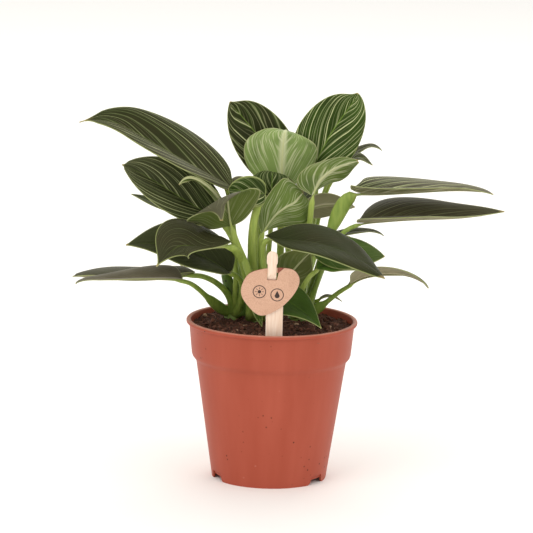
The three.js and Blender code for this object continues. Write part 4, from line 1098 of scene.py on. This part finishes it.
# %% Making a blade
BLADE_COLUMNS = 20
BLADE_ROWS = 46
COLUMN_CROWDING = 1.25
ROW_CROWDING = 1.25
VEIN_BEND = 0.022
SIDE_OFFSET = 313.0
SAMPLES = [step / 8 for step in range(9)]
LEAF_NUMBERS = ("stripes", "fresh", "rib", "grey")
PLACE_NUMBERS = ("edge", "brown", "dusk")


def blade_shape(leaf, seed):
    """A bmesh of one blade, with its vein map and its own numbers."""
    shape = bmesh.new()
    bmesh.ops.create_grid(shape, x_segments=BLADE_COLUMNS, y_segments=BLADE_ROWS, size=1)
    veins = shape.loops.layers.uv.new("Veins")
    layers = {name: shape.verts.layers.float.new(name) for name in PLACE_NUMBERS + LEAF_NUMBERS}
    mids = [blade_place(leaf, t, 0) for t in SAMPLES]
    length = sum((b - a).length for a, b in zip(mids, mids[1:]))
    widest = {side: max(half_width(leaf, t, side) for t in SAMPLES) for side in (-1, 1)}
    level_per_length = 1 / math.hypot(1, leaf["slope"]) / leaf["pitch"]
    spots = {}
    for vertex in shape.verts:
        across = math.copysign(abs(vertex.co.x) ** COLUMN_CROWDING, vertex.co.x)
        spots[vertex] = (((vertex.co.y + 1) / 2) ** ROW_CROWDING, across)
    for face in shape.faces:
        side = 1 if face.calc_center_median().x > 0 else -1
        for loop in face.loops:
            t, across = spots[loop.vert]
            aside = abs(across) * widest[side]
            level = (t * length - leaf["slope"] * aside - VEIN_BEND * aside ** 2) * level_per_length
            loop[veins].uv = (aside, level + seed + side * SIDE_OFFSET)
    for vertex, (t, across) in spots.items():
        vertex[layers["edge"]] = (1 - abs(across)) * half_width(leaf, t, across) / leaf["rim"]
        vertex[layers["brown"]] = max(1 - (1 - t) / leaf["thread"] * 2, 0) ** 0.5
        near_right = min(max(across * 2, -0.5), 0.5) + 0.5
        # How much painted grey sheen this point gets, from the left half, the right half and the tip.
        left, right, tip = leaf["dusk"]
        vertex[layers["dusk"]] = (left + (right - left) * near_right) * (1 - t) + tip * t
        for name in LEAF_NUMBERS:
            vertex[layers[name]] = leaf[name]
        vertex.co = blade_place(leaf, t, across) * MM
    return shape


print("a blade is a grid of", BLADE_COLUMNS, "by", BLADE_ROWS)

# %% [markdown]
# Both faces of a leaf follow its veins, so what they share comes first. The vein map gives how far
# a place is from the midrib, and its level: places on one side vein have one level. A slow noise
# sways the levels by up to 4 mm, as no real vein is ruled. Streaks are a noise that is drawn out
# along the veins. Last come the margin, which pales over its own width, and the dry brown tip.

# %% What both faces share
VEIN_SWAY = 4.0


def vein_map(tree):
    """The distance from the midrib and the swayed level of the vein, both in millimetres."""
    veins = add_node(tree, "UVMap", {"uv_map": "Veins"}).outputs["UV"]
    parts = add_node(tree, "SeparateXYZ", inputs={0: veins})
    sway = add_node(tree, "TexNoise", {"noise_dimensions": "2D"},
                    {"Vector": veins, "Scale": 0.07, "Detail": 2.0})
    level = maths(tree, "MULTIPLY_ADD", sway, VEIN_SWAY, parts.outputs["Y"])
    return parts.outputs["X"], level


def vein_streaks(tree, aside, level, per_millimetre, detail):
    """A noise along the veins, with its scale per millimetre aside and across the veins."""
    spots = add_node(tree, "CombineXYZ", inputs={"X": aside, "Y": level})
    stretched = add_node(tree, "Mapping", inputs={"Vector": spots, "Scale": (*per_millimetre, 1)})
    return noise_node(tree, stretched, 1.0, detail)


def with_margin(tree, below, colour):
    """The colour below, with the leaf's margin fading into another."""
    edge = attribute(tree, "edge")
    margin = mapped(tree, edge, (0.3, 1.1), (0.75, 0.0), smooth=True)
    return mix(tree, margin, below, colour)


def with_brown_tip(tree, below):
    """The colour below, dried to straw brown at the leaf's thread tip."""
    brown = attribute(tree, "brown")
    return mix(tree, brown, below, "#b09a68")


print("veins sway by up to", VEIN_SWAY, "mm")

# %% [markdown]
# The upper face of a blade has a dark, waxy cuticle. Its sheen is soft and grey, so the roughness
# is middling and the IOR lower than that of water, and the white tent does the rest. Cream
# pinstripes lie along its side veins, in two sets. One-dimensional Voronoi cells along the levels
# meet at uneven distances, as the veins do, and the lines are drawn where they meet: the bold ones
# about 4.5 mm apart and the fine ones about 2 mm. A streaky noise fades each line in and out on its
# way to the margin: the bold ones show where it is high, and the fine ones where it is low.

# %% Pinstripes
def pinstripes(tree, level, spacing, rim, fade, fades, strengths):
    """One set of lines: their cells' distances, the full lines, and the faded ones.

    rim holds the shares of a cell where a line stops being full and where it ends. strengths holds
    how strong a line is where fade is at each of the two numbers of fades.
    """
    cells = add_node(tree, "TexVoronoi", {"voronoi_dimensions": "1D", "feature": "DISTANCE_TO_EDGE"},
                     {"W": level, "Scale": 1 / spacing})
    full = mapped(tree, cells, rim, (1.0, 0.0), smooth=True)
    part = mapped(tree, fade, fades, strengths)
    faded = maths(tree, "MULTIPLY", full, part)
    return cells, full, faded


upper_face, tree, shader = new_material("waxy_upper_face", 0.42, 1.15)
aside, level = vein_map(tree)
fade = vein_streaks(tree, aside, level, (0.05, 0.4), detail=1.0)
bold_distance, _, bold = pinstripes(tree, level, 4.5, (0.015, 0.085), fade, (0.38, 0.62), (0.1, 1.0))
_, fine_full, fine = pinstripes(tree, level, 2.0, (0.03, 0.16), fade, (0.66, 0.4), (0.0, 0.27))
lines = maths(tree, "MAXIMUM", bold, fine)
stripes = attribute(tree, "stripes")
drawn = maths(tree, "MULTIPLY", lines, stripes)
print("the stripes take", len(tree.nodes), "nodes")

# %% [markdown]
# Under the lines, the flesh goes from olive brown to green by the leaf's own fresh number, mottled by
# a noise. Fresh green lies along the bold lines, and the cream lines lie on top of it.

# %% The upper face's green
place = add_node(tree, "TexCoord").outputs["Object"]
mottle = noise_node(tree, place, 55.0, 4.0)
fresh = attribute(tree, "fresh")
body = maths(tree, "MULTIPLY_ADD", mottle, 0.3, fresh)
flesh = ramp(tree, body, [(0.1, "#383320"), (0.3, "#2c3017"), (0.6, "#2c3b14"), (0.98, "#52742a")])
beside = mapped(tree, bold_distance, (0.0, 0.3), (0.3, 0.0), smooth=True)
halo = maths(tree, "MULTIPLY", beside, stripes)
greened = mix(tree, halo, flesh, "#4b6528")
striped = mix(tree, drawn, greened, "#cdd19c")
print("fresh numbers from", min(leaf["fresh"] for leaf in LEAVES.values()),
      "to", max(leaf["fresh"] for leaf in LEAVES.values()))

# %% [markdown]
# Three things lie over the stripes: the midrib, a bright line less than a millimetre to each side;
# the pale margin; and a painted grey sheen, which is broken up by the same mottle as the green. The
# fine lines are sunk a little, as veins are on the upper side of a leaf.

# %% Midrib, margin and painted sheen
midrib = mapped(tree, aside, (0.15, 0.9), (1.0, 0.0), smooth=True)
rib = attribute(tree, "rib")
rib_line = maths(tree, "MULTIPLY", midrib, rib)
ribbed = mix(tree, rib_line, striped, "#7c9a40")
edged = with_margin(tree, ribbed, "#98a263")
# A painted grey sheen, broken up by the mottle.
dusk = attribute(tree, "dusk")
sheen_spread = mapped(tree, mottle, (0.3, 0.6), (0.35, 0.6))
sheen_share = maths(tree, "MULTIPLY", sheen_spread, dusk)
with_painted_sheen = mix(tree, sheen_share, edged, "#797260")
dress(tree, shader, with_brown_tip(tree, with_painted_sheen), fine_full, strength=0.35, distance=0.0004, invert=True)
print("the upper face takes", len(tree.nodes), "nodes")

# %% [markdown]
# The underside is paler and less waxy: fresh green on young leaves, a greyish beige on old ones, by
# the leaf's own grey number. Slow dark patches break the green up. Where a leaf has stripes, they
# shine through from above as feathered pale streaks.

# %% The underside's green
underside, tree, shader = new_material("pale_underside", 0.5, 1.25)
aside, level = vein_map(tree)
streaks = vein_streaks(tree, aside, level, (0.09, 0.7), detail=3.0)
grey = attribute(tree, "grey")
flesh = ramp(tree, grey, [(0, "#7b9150"), (0.15, "#5d7831"), (0.4, "#5a6530"), (1, "#8c8669")])
vein_tone = ramp(tree, grey, [(0, "#ccd0a6"), (1, "#b9b294")])
place = add_node(tree, "TexCoord").outputs["Object"]
patches = noise_node(tree, place, 60.0, 3.0)
shade = mapped(tree, patches, (0.5, 0.7), (0.0, 0.55))
patched = mix(tree, shade, flesh, "#3d4f24")
pale = mapped(tree, streaks, (0.48, 0.66), (0.0, 0.85), smooth=True)
stripes = attribute(tree, "stripes")
feathered = maths(tree, "MULTIPLY", pale, stripes)
veined = mix(tree, feathered, patched, vein_tone)
print("the underside's green takes", len(tree.nodes), "nodes")

# %% [markdown]
# A pale band runs along the midrib, wider on leaves whose midrib is clear. The veins stand out of
# the underside a little, so the streaks are also its bump.

# %% The underside's band and margin
NARROW_BAND = 0.8
BAND_PER_RIB = 3.5

rib = attribute(tree, "rib")
band_width = maths(tree, "MULTIPLY_ADD", rib, BAND_PER_RIB, NARROW_BAND)
band = mapped(tree, aside, (0.3, band_width), (0.85, 0.0), smooth=True)
banded = mix(tree, band, veined, vein_tone)
edged = with_margin(tree, banded, "#a8ab78")
dress(tree, shader, with_brown_tip(tree, edged), streaks, strength=0.3, distance=0.0005)
print("the band is", NARROW_BAND, "to", NARROW_BAND + BAND_PER_RIB, "mm to each side")

# %% [markdown]
# The thin edge all round a blade has a finish of its own, pale and mottled with green, because the
# margin of a leaf lets the light through. Several small finishes of this plant and its tag are no
# more than one noise between two colours, so one function makes them.

# %% The margin
def mottled(name, roughness, scale, detail, stops, ior=1.5, stretch=None, strength=0.0, distance=0.0):
    """A finish whose colour and bump follow one noise, which stretch may draw out."""
    material, tree, shader = new_material(name, roughness, ior)
    place = add_node(tree, "TexCoord").outputs["Object"]
    if stretch:
        place = add_node(tree, "Mapping", inputs={"Vector": place, "Scale": stretch})
    pattern = noise_node(tree, place, scale, detail)
    tone = ramp(tree, pattern, stops)
    dress(tree, shader, tone, pattern if strength else None, strength, distance)
    return material


margin_skin = mottled("pale_margin", 0.5, 120.0, 2.0, [(0, "#6c7a42"), (1, "#b8ba88")], ior=1.25)
print("the blades' third finish is", margin_skin.name)

# %% [markdown]
# Each blade gets its thickness from a Solidify modifier, which keeps the grid itself simple. The
# same modifier gives the other side and the edge their own finishes. Each leaf's vein map starts
# somewhere else along the pattern, and its margin has its own number of waves.

# %% The blades
BLADE_THICKNESS = 0.5
FEWEST_WAVES = 7
WAVE_COUNTS = 5
PATTERN_STEP = 41.7

for number, (name, leaf) in enumerate(LEAVES.items()):
    leaf["waves"] = FEWEST_WAVES + number % WAVE_COUNTS
    blade = finish_piece("blade_" + name, blade_shape(leaf, seed=number * PATTERN_STEP),
                         [upper_face, underside, margin_skin], ["leaf_" + name])
    sheet = blade.modifiers.new("thickness", "SOLIDIFY")
    sheet.thickness = BLADE_THICKNESS * MM
    sheet.offset = 0
    sheet.material_offset = 1
    sheet.material_offset_rim = 2
print(len(LEAVES), "blades,", len(blade.data.polygons), "faces each before their thickness")

# %% [markdown]
# A petiole is a juicy stalk, nearly round, with a shallow channel along its upper side. It runs on
# as the midrib, a pale rib that stands out of the underside and thins towards the tip. So one tube
# makes both: the petiole's curve, then a run just under the blade, with the bend between them eased
# by averaging neighbouring points. The petiole flares where it leaves the crown.

# %% The run of a stalk
PETIOLE_STEPS = 18
MIDRIB_STEPS = 18
MIDRIB_END = 0.9
MIDRIB_START_SHARE = 0.48
NET_RIB_SHARE = 0.4
MIDRIB_END_RADIUS = 0.22
MIDRIB_SUNK = 0.9
FOOT_FLARE = 0.5
FOOT_RUN = 0.08
CHANNEL_DEPTH = 0.22
CHANNEL_WIDTH = 0.5
EASING = 3
NET_BASE_CLEAR = 1.8


def petiole_points(leaf):
    """The petiole's four points, with the last one just under the blade."""
    base = blade_place(leaf, 0, 0)
    if leaf["net"]:
        away = (base - blade_place(leaf, 0.1, 0)).normalized()
        return [*leaf["petiole"], base + away * NET_BASE_CLEAR]
    up = blade_normal(leaf, 0, 0)
    slant = direction_at([*leaf["petiole"], base], 1).dot(up)
    drop = leaf["radii"][1] * math.sqrt(1 - slant ** 2) + BLADE_THICKNESS / 2
    return [*leaf["petiole"], base - up * drop]


def channelled(angle):
    """The share of the radius round the ring: a round stalk with a shallow channel."""
    off = (angle - math.pi / 2 + math.pi) % (2 * math.pi) - math.pi
    return 1 - CHANNEL_DEPTH * math.exp(-(off / CHANNEL_WIDTH) ** 2)


def stalk_run(leaf):
    """The points and radii of the petiole and the midrib."""
    first, last = leaf["radii"]
    start, end, wing = leaf["sheath"]
    points, radii = [], []
    curve = petiole_points(leaf)
    for step in range(PETIOLE_STEPS):
        t = step / PETIOLE_STEPS
        flare = FOOT_FLARE * math.exp(-t / FOOT_RUN)
        radius = first * (1 + flare) + (last - first) * t
        opened = wing * math.sin(math.pi * min(max((t - start) / (end - start), 0), 1)) ** 0.6
        points.append(along_cubic(curve, t))
        radii.append((radius, radius + opened))
    for step in range(1, MIDRIB_STEPS + 1):
        t = MIDRIB_END * step / MIDRIB_STEPS
        radius = last * (NET_RIB_SHARE if leaf["net"] else MIDRIB_START_SHARE)
        radius += (MIDRIB_END_RADIUS - radius) * (t / MIDRIB_END) ** 0.7
        points.append(blade_place(leaf, t, 0) - blade_normal(leaf, t, 0) * radius * MIDRIB_SUNK)
        radii.append((radius, radius))
    for turn in range(EASING):
        eased = [(a + 2 * b + c) / 4 for a, b, c in zip(points, points[1:], points[2:])]
        points = [points[0], *eased, points[-1]]
    return points, radii


print("a stalk has", PETIOLE_STEPS + MIDRIB_STEPS, "rings")

# %% [markdown]
# The skin of a petiole is smooth and juicy, with a soft highlight, and faint streaks run along it.
# It ripens from olive at the foot to pale green under the blade, by a number on each point. The old
# stock has corky dark scars, a few millimetres apart, where leaves have fallen. On the midrib the
# skin is a pale greyish green, or a dull beige on old leaves.

# %% The petiole's skin
petiole_skin, tree, shader = new_material("petiole_skin", 0.42, 1.35)
place = add_node(tree, "TexCoord").outputs["Object"]
upright = add_node(tree, "Mapping", inputs={"Vector": place, "Scale": (1, 1, 0.15)})
streaks = noise_node(tree, upright, 420.0, 3.0)
ripe = attribute(tree, "ripe")
mixed = maths(tree, "MULTIPLY_ADD", streaks, 0.5, ripe)
skin_tone = ramp(tree, mixed, [
    (0.02, "#5c5f2e"), (0.2, "#55702c"), (0.5, "#7c9440"), (0.8, "#a3b358"), (0.98, "#b9c47e")])
scars = patchy_dots(tree, place, 230.0, (0.14, 0.26), ripe, (0.08, 0.0), strength=0.8)
scarred = mix(tree, scars, skin_tone, "#2c2a1c")
worn = attribute(tree, "worn")
rib_tone = ramp(tree, worn, [(0, "#b9bd8e"), (1, "#827f5c")])
rib_part = attribute(tree, "rib_part")
ribbed = mix(tree, rib_part, scarred, rib_tone)
dress(tree, shader, ribbed, streaks, strength=0.15, distance=0.0004)
print("the skin takes", len(tree.nodes), "nodes")

# %% [markdown]
# A crown is a short upright stub, half in the soil, that all of its petioles grow out of. The left
# crown also has its thick old stock. Each crown and its stalks are one mesh. Every vertex of a stalk
# gets three numbers for the skin: how ripe it is, how worn its leaf is, and how far it is midrib.

# %% The crowns and their stalks
TUBE_SIDES = 14
STUB_SIDES = 24
STOCK_SIDES = 20
STUB_SHARES = (0, 0.5, 0.9, 1)
STUB_TOP_SHARE = 0.7
STUB_RIPE = 0.1
STOCK_RIPE = -0.08
PETIOLE_RIPE = 0.38
OLD_PETIOLE_RIPE = 0.18
RIPENING = 0.3
RIB_PALE = 0.9
RIB_FROM = 0.5
RIB_RUN = 0.06


def add_stub(shape, place, low, high):
    """Adds a crown's stub, low millimetres in radius at its foot and high near its top."""
    middle = Vector((*place, (CROWN_FOOT + CROWN_TOP) / 2))
    spots = [middle + Vector((0, 0, (CROWN_TOP - CROWN_FOOT) * (share - 0.5))) for share in STUB_SHARES]
    radii = (low, (low + high) / 2, high, high * STUB_TOP_SHARE)
    return sweep(shape, spots, [(radius, radius) for radius in radii], sides=STUB_SIDES)


def add_stock(shape):
    """Adds the thick old stock of the left crown."""
    low, high = STOCK_RADII
    radii = [low + (high - low) * t for t in SAMPLES]
    spots = [along_cubic(STOCK, t) for t in SAMPLES]
    return sweep(shape, spots, [(radius, radius) for radius in radii], sides=STOCK_SIDES)


for crown, facts in CROWNS.items():
    stalks = bmesh.new()
    ripe_layer, worn_layer, rib_layer = [
        stalks.verts.layers.float.new(name) for name in ("ripe", "worn", "rib_part")]
    for vertex in add_stub(stalks, facts["place"], *facts["radii"]):
        vertex[ripe_layer] = STUB_RIPE
    if crown == "left":
        for vertex in add_stock(stalks):
            vertex[ripe_layer] = STOCK_RIPE
    own = [leaf for leaf in LEAVES.values() if leaf["crown"] == crown]
    for leaf in own:
        points, radii = stalk_run(leaf)
        across = direction_at(petiole_points(leaf), 0.5).cross(blade_normal(leaf, 0, 0))
        made = sweep(stalks, points, radii, sides=TUBE_SIDES, side=across, section=channelled)
        foot_ripe = PETIOLE_RIPE + (OLD_PETIOLE_RIPE - PETIOLE_RIPE) * leaf["grey"]
        for index, vertex in enumerate(made):
            along = index / len(made)
            vertex[ripe_layer] = foot_ripe + RIPENING * along
            vertex[worn_layer] = leaf["grey"]
            vertex[rib_layer] = RIB_PALE * min(max((along - RIB_FROM) / RIB_RUN, 0), 1)
    finish_piece("stalks_" + crown, stalks, [petiole_skin], ["stems_" + crown])
    print(crown, "crown:", len(own), "petioles")

# %% [markdown]
# The tag is two pieces of veneer: a stake, and a pebble-shaped disc with a slot. The stake narrows
# at its shoulders to a tongue, which comes forward through the slot and stands up in front of the
# disc. The stake is a strip: a short edge is extruded from station to station, gets its thickness,
# and its corners are bevelled. Both pieces are made in the tag's own frame and then leaned forward.

# %% The stake
TAG = Matrix.Translation((1.5, -48.5, 107)) @ Matrix.Rotation(math.radians(3.5), 4, "X")
TO_SCENE = Matrix.Scale(MM, 4) @ TAG
NECK_ASIDE = -2.2
SHOULDER_HEIGHT = 42.5
STAKE_STATIONS = [
    # height, half width, how far forward
    (-38, 1.5, 0), (-30, 5.85, 0), (0, 5.85, 0), (20, 5.85, 0), (40.6, 5.85, 0), (41.9, 5.5, 0),
    (42.5, 3.5, 0.05), (43.2, 3.05, 0.15), (44.4, 3.05, 0.35), (45.6, 3.05, 1.1), (47.2, 3.05, 2.3),
    (48.4, 3.05, 2.9), (50, 3.05, 3), (54.6, 3.05, 3), (55.3, 3.2, 3), (56, 3.6, 3), (56.8, 3.75, 3),
    (59.5, 3.75, 3), (61.3, 3.65, 3), (62.6, 3.25, 3), (63.6, 2.5, 3), (64.2, 1.7, 3), (64.5, 0.7, 3),
]

stake_shape = bmesh.new()
height, reach, forward = STAKE_STATIONS[0]
row = [stake_shape.verts.new((side * reach, -forward, height)) for side in (-1, 0, 1)]
rail = [stake_shape.edges.new(pair) for pair in zip(row, row[1:])]
for height, reach, forward in STAKE_STATIONS[1:]:
    grown = bmesh.ops.extrude_edge_only(stake_shape, edges=rail)
    row = sorted(only(bmesh.types.BMVert, grown), key=lambda vertex: vertex.co.x)
    rail = only(bmesh.types.BMEdge, grown)
    aside = 0 if height < SHOULDER_HEIGHT else NECK_ASIDE
    for side, vertex in zip((-1, 0, 1), row):
        vertex.co = (aside + side * reach, -forward, height)
bmesh.ops.recalc_face_normals(stake_shape, faces=stake_shape.faces)
bmesh.ops.transform(stake_shape, matrix=TO_SCENE, verts=stake_shape.verts)
print("stake:", len(STAKE_STATIONS), "stations")

# %% [markdown]
# Birch veneer: pale, close-grained wood, sawn thin and left bare, so it is nearly matt. The grain
# runs up the stake as long, faint streaks about 0.6 mm wide. A live bevel softens the corners.

# %% The stake's veneer
STAKE_THICKNESS = 1.4


def bevelled(piece, width, segments=2):
    """Adds a live bevel on the piece's sharp edges, its width in millimetres."""
    bevel = piece.modifiers.new("soft_edges", "BEVEL")
    bevel.width = width * MM
    bevel.segments = segments
    bevel.profile = 0.5
    bevel.material = -1
    bevel.limit_method = "ANGLE"
    bevel.angle_limit = math.radians(40)


birch = mottled("birch_veneer", 0.62, 900.0, 3.0, [(0.3, "#e2c4ab"), (0.7, "#f3dfcd")],
                stretch=(1, 1, 0.05), strength=0.2, distance=0.0002)
stake = finish_piece("tag_stake_veneer", stake_shape, [birch], ["tag_stake"])
thickness = stake.modifiers.new("thickness", "SOLIDIFY")
thickness.thickness = STAKE_THICKNESS * MM
thickness.offset = 0
bevelled(stake, 0.3)
sharpen(stake, 35)
print("the stake is", STAKE_THICKNESS, "mm thick")

# %% [markdown]
# The disc is printed board of much the same tone, a little pinker and matt, with a fine speckle of
# fibres and slow clouds. Its cut edge is a dark red-brown.

# %% The disc's board
board, tree, shader = new_material("pale_board", 0.7)
place = add_node(tree, "TexCoord").outputs["Object"]
speckle = noise_node(tree, place, 1500.0, 3.0)
cloud = noise_node(tree, place, 60.0, 2.0)
mixed = maths(tree, "MULTIPLY_ADD", cloud, 0.35, speckle)
board_tone = ramp(tree, mixed, [(0.42, "#bd9178"), (0.8, "#d2a98f")])
dress(tree, shader, board_tone, speckle, strength=0.15, distance=0.0002)

cut_edge = mottled("red_brown_cut_edge", 0.75, 1100.0, 2.0, [(0, "#6e3328"), (1, "#a3604c")])
print("the board and its edge:", board.name, cut_edge.name)

# %% [markdown]
# The disc's outline is a smooth closed curve through ten points. A circle's vertices move onto it,
# and the face is extruded to its thickness, which makes a plate of any outline.

# %% The disc's plate
DISC_THICKNESS = 1.0
DISC_FORWARD = 1.5
DISC_OUTLINE = [
    (-23.3, 35), (-18.8, 47.2), (-8.5, 51.6), (9, 52.3), (13.5, 50.6),
    (16.7, 45.2), (15, 37.4), (4.4, 24.6), (-9.5, 18.6), (-18.3, 25.3),
]
DISC_STEPS = 12


def closed_curve(corners, steps):
    """Points of a smooth closed curve through the corners (a centripetal Catmull-Rom curve)."""
    count = len(corners)
    made = []
    for index in range(count):
        a, b, c, d = (corners[(index + shift) % count] for shift in (-1, 0, 1, 2))
        gaps = [max((q - p).length ** 0.5, 1e-6) for p, q in ((a, b), (b, c), (c, d))]
        leave = ((b - a) / gaps[0] - (c - a) / (gaps[0] + gaps[1]) + (c - b) / gaps[1]) * gaps[1]
        arrive = ((c - b) / gaps[1] - (d - b) / (gaps[1] + gaps[2]) + (d - c) / gaps[2]) * gaps[1]
        made += [hermite(b, leave, c, arrive, step / steps) for step in range(steps)]
    return made


def in_plane(corners):
    """Flat corners, given as aside and up, as places in the tag's frame."""
    return [Vector((x, 0, z)) for x, z in corners]


def plate(shape, outline, front, thickness):
    """Adds a flat plate with that outline, its front face at y = -front, in the tag's frame."""
    ring = bmesh.ops.create_circle(shape, segments=len(outline), radius=1, cap_ends=True)["verts"]
    for vertex, spot in zip(ring, outline):
        vertex.co = (spot.x, -front, spot.z)
    faces = list({face for vertex in ring for face in vertex.link_faces})
    moved = only(bmesh.types.BMVert, bmesh.ops.extrude_face_region(shape, geom=faces))
    bmesh.ops.translate(shape, vec=(0, thickness, 0), verts=moved)
    bmesh.ops.recalc_face_normals(shape, faces=list({f for v in ring + moved for f in v.link_faces}))
    bmesh.ops.transform(shape, matrix=TO_SCENE, verts=ring + moved)


front = DISC_FORWARD + DISC_THICKNESS / 2
disc_shape = bmesh.new()
plate(disc_shape, closed_curve(in_plane(DISC_OUTLINE), DISC_STEPS), front, DISC_THICKNESS)
disc = finish_piece("tag_disc_board", disc_shape, [board, cut_edge], ["tag_disc"],
                    smooth=False)
print("the disc's outline has", len(DISC_OUTLINE) * DISC_STEPS, "steps")

# %% [markdown]
# The slot goes right through the disc, and the chip takes half the thickness off one corner of it,
# where the tongue was pushed in. Both are cut with plates. Faces that look neither forward nor back
# are the cut edge and get the darker finish, and so does the floor of the chip.

# %% Slot and chip
SLOT_CORNERS = [(-5.35, 49.2), (-5.35, 43.9), (1.25, 43.9), (2.25, 49.2)]
CHIP_CORNERS = [(1.8, 53.6), (1.7, 48.6), (7.4, 53.6)]
CHIP_DEPTH = 0.55
OVERCUT = 1

for corners, depth in ((SLOT_CORNERS, DISC_THICKNESS + OVERCUT), (CHIP_CORNERS, CHIP_DEPTH)):
    cutter_shape = bmesh.new()
    plate(cutter_shape, in_plane(corners), front + OVERCUT, OVERCUT + depth)
    cut(disc, cutter_shape)
to_tag = TO_SCENE.inverted()
for face in disc.data.polygons:
    middle = to_tag @ face.center
    sunk = middle.y + front
    faces_forward = abs(face.normal.y) > 0.9
    chipped = 0.2 < sunk < 0.9 and middle.x > 1.7 and middle.z > 49
    face.material_index = 0 if faces_forward and not chipped else 1
bevelled(disc, 0.18)
sharpen(disc, 30)
print("the disc has", len(disc.data.polygons), "faces")

# %% [markdown]
# Two care marks are printed on the disc, as on many plant tags: a sun for light and a drop for
# water, each in a thin ring. Ink has no thickness to speak of, so each mark is a plate that stands
# only a few hundredths of a millimetre proud of the board. A ring starts as a circle, whose edge is
# extruded inwards and then backwards.

# %% The marks' rings
RING_RADIUS = 4.6
RING_LINE = 0.6
SUN_PLACE = (-10.6, 35.5)
DROP_PLACE = (1.6, 33.5)
INK_PROUD = 0.04

ink = mottled("dark_brown_ink", 0.6, 1800.0, 2.0, [(0, "#241510"), (1, "#3c271f")])
marks = bmesh.new()
for x, z in (SUN_PLACE, DROP_PLACE):
    outer = bmesh.ops.create_circle(marks, segments=64, radius=RING_RADIUS)["verts"]
    rim = list({edge for vertex in outer for edge in vertex.link_edges})
    inner = only(bmesh.types.BMVert, bmesh.ops.extrude_edge_only(marks, edges=rim))
    shrink = 1 - RING_LINE / RING_RADIUS
    bmesh.ops.scale(marks, vec=(shrink, shrink, 1), verts=inner)
    flat = list({face for vertex in inner for face in vertex.link_faces})
    lifted = only(bmesh.types.BMVert, bmesh.ops.extrude_face_region(marks, geom=flat))
    bmesh.ops.translate(marks, vec=(0, 0, 2 * INK_PROUD), verts=lifted)
    stand = Matrix.Translation((x, -front + INK_PROUD, z)) @ Matrix.Rotation(math.pi / 2, 4, "X")
    bmesh.ops.transform(marks, matrix=TO_SCENE @ stand, verts=outer + inner + lifted)
print("two rings,", 2 * RING_RADIUS, "mm across")

# %% [markdown]
# The sun is a small round plate with eight tapered rays. The drop is a round plate too, with the
# upper half drawn up to a point.

# %% Sun and drop
SUN_RADIUS = 1.25
SUN_RAYS = 8
RAY_START = 1.9
RAY_END = 3.1
RAY_HALF_WIDTH = 0.26
DROP_RADIUS = 1.75
DROP_POINT = 1.5
DROP_PINCH = 0.45
DROP_LOWERED = 0.6


def round_spots(centre, radius, steps):
    """Points round a circle in the disc's plane."""
    angles = [2 * math.pi * step / steps for step in range(steps)]
    return in_plane([(centre[0] + radius * math.cos(a), centre[1] + radius * math.sin(a)) for a in angles])


def print_mark(outline):
    """Adds a plate of ink, a little proud of the board."""
    plate(marks, outline, front + INK_PROUD, 2 * INK_PROUD)


print_mark(round_spots(SUN_PLACE, SUN_RADIUS, 24))
centre = Vector((SUN_PLACE[0], 0, SUN_PLACE[1]))
for ray in range(SUN_RAYS):
    angle = 2 * math.pi * ray / SUN_RAYS
    out = Vector((math.cos(angle), 0, math.sin(angle)))
    aside = Vector((-out.z, 0, out.x)) * RAY_HALF_WIDTH
    near, far = centre + out * RAY_START, centre + out * RAY_END
    print_mark([near - aside, far - aside * 0.5, far + aside * 0.5, near + aside])
drop = round_spots((0, 0), DROP_RADIUS, 32)
for spot in drop:
    rise = max(spot.z, 0) / DROP_RADIUS
    spot.x *= 1 - DROP_PINCH * rise
    spot.z += DROP_POINT * rise ** 2.5
middle = Vector((DROP_PLACE[0], 0, DROP_PLACE[1] - DROP_LOWERED))
print_mark([spot + middle for spot in drop])
bmesh.ops.recalc_face_normals(marks, faces=marks.faces)
finish_piece("tag_care_marks", marks, [ink], smooth=False)
print("a sun with", SUN_RAYS, "rays, and a drop")
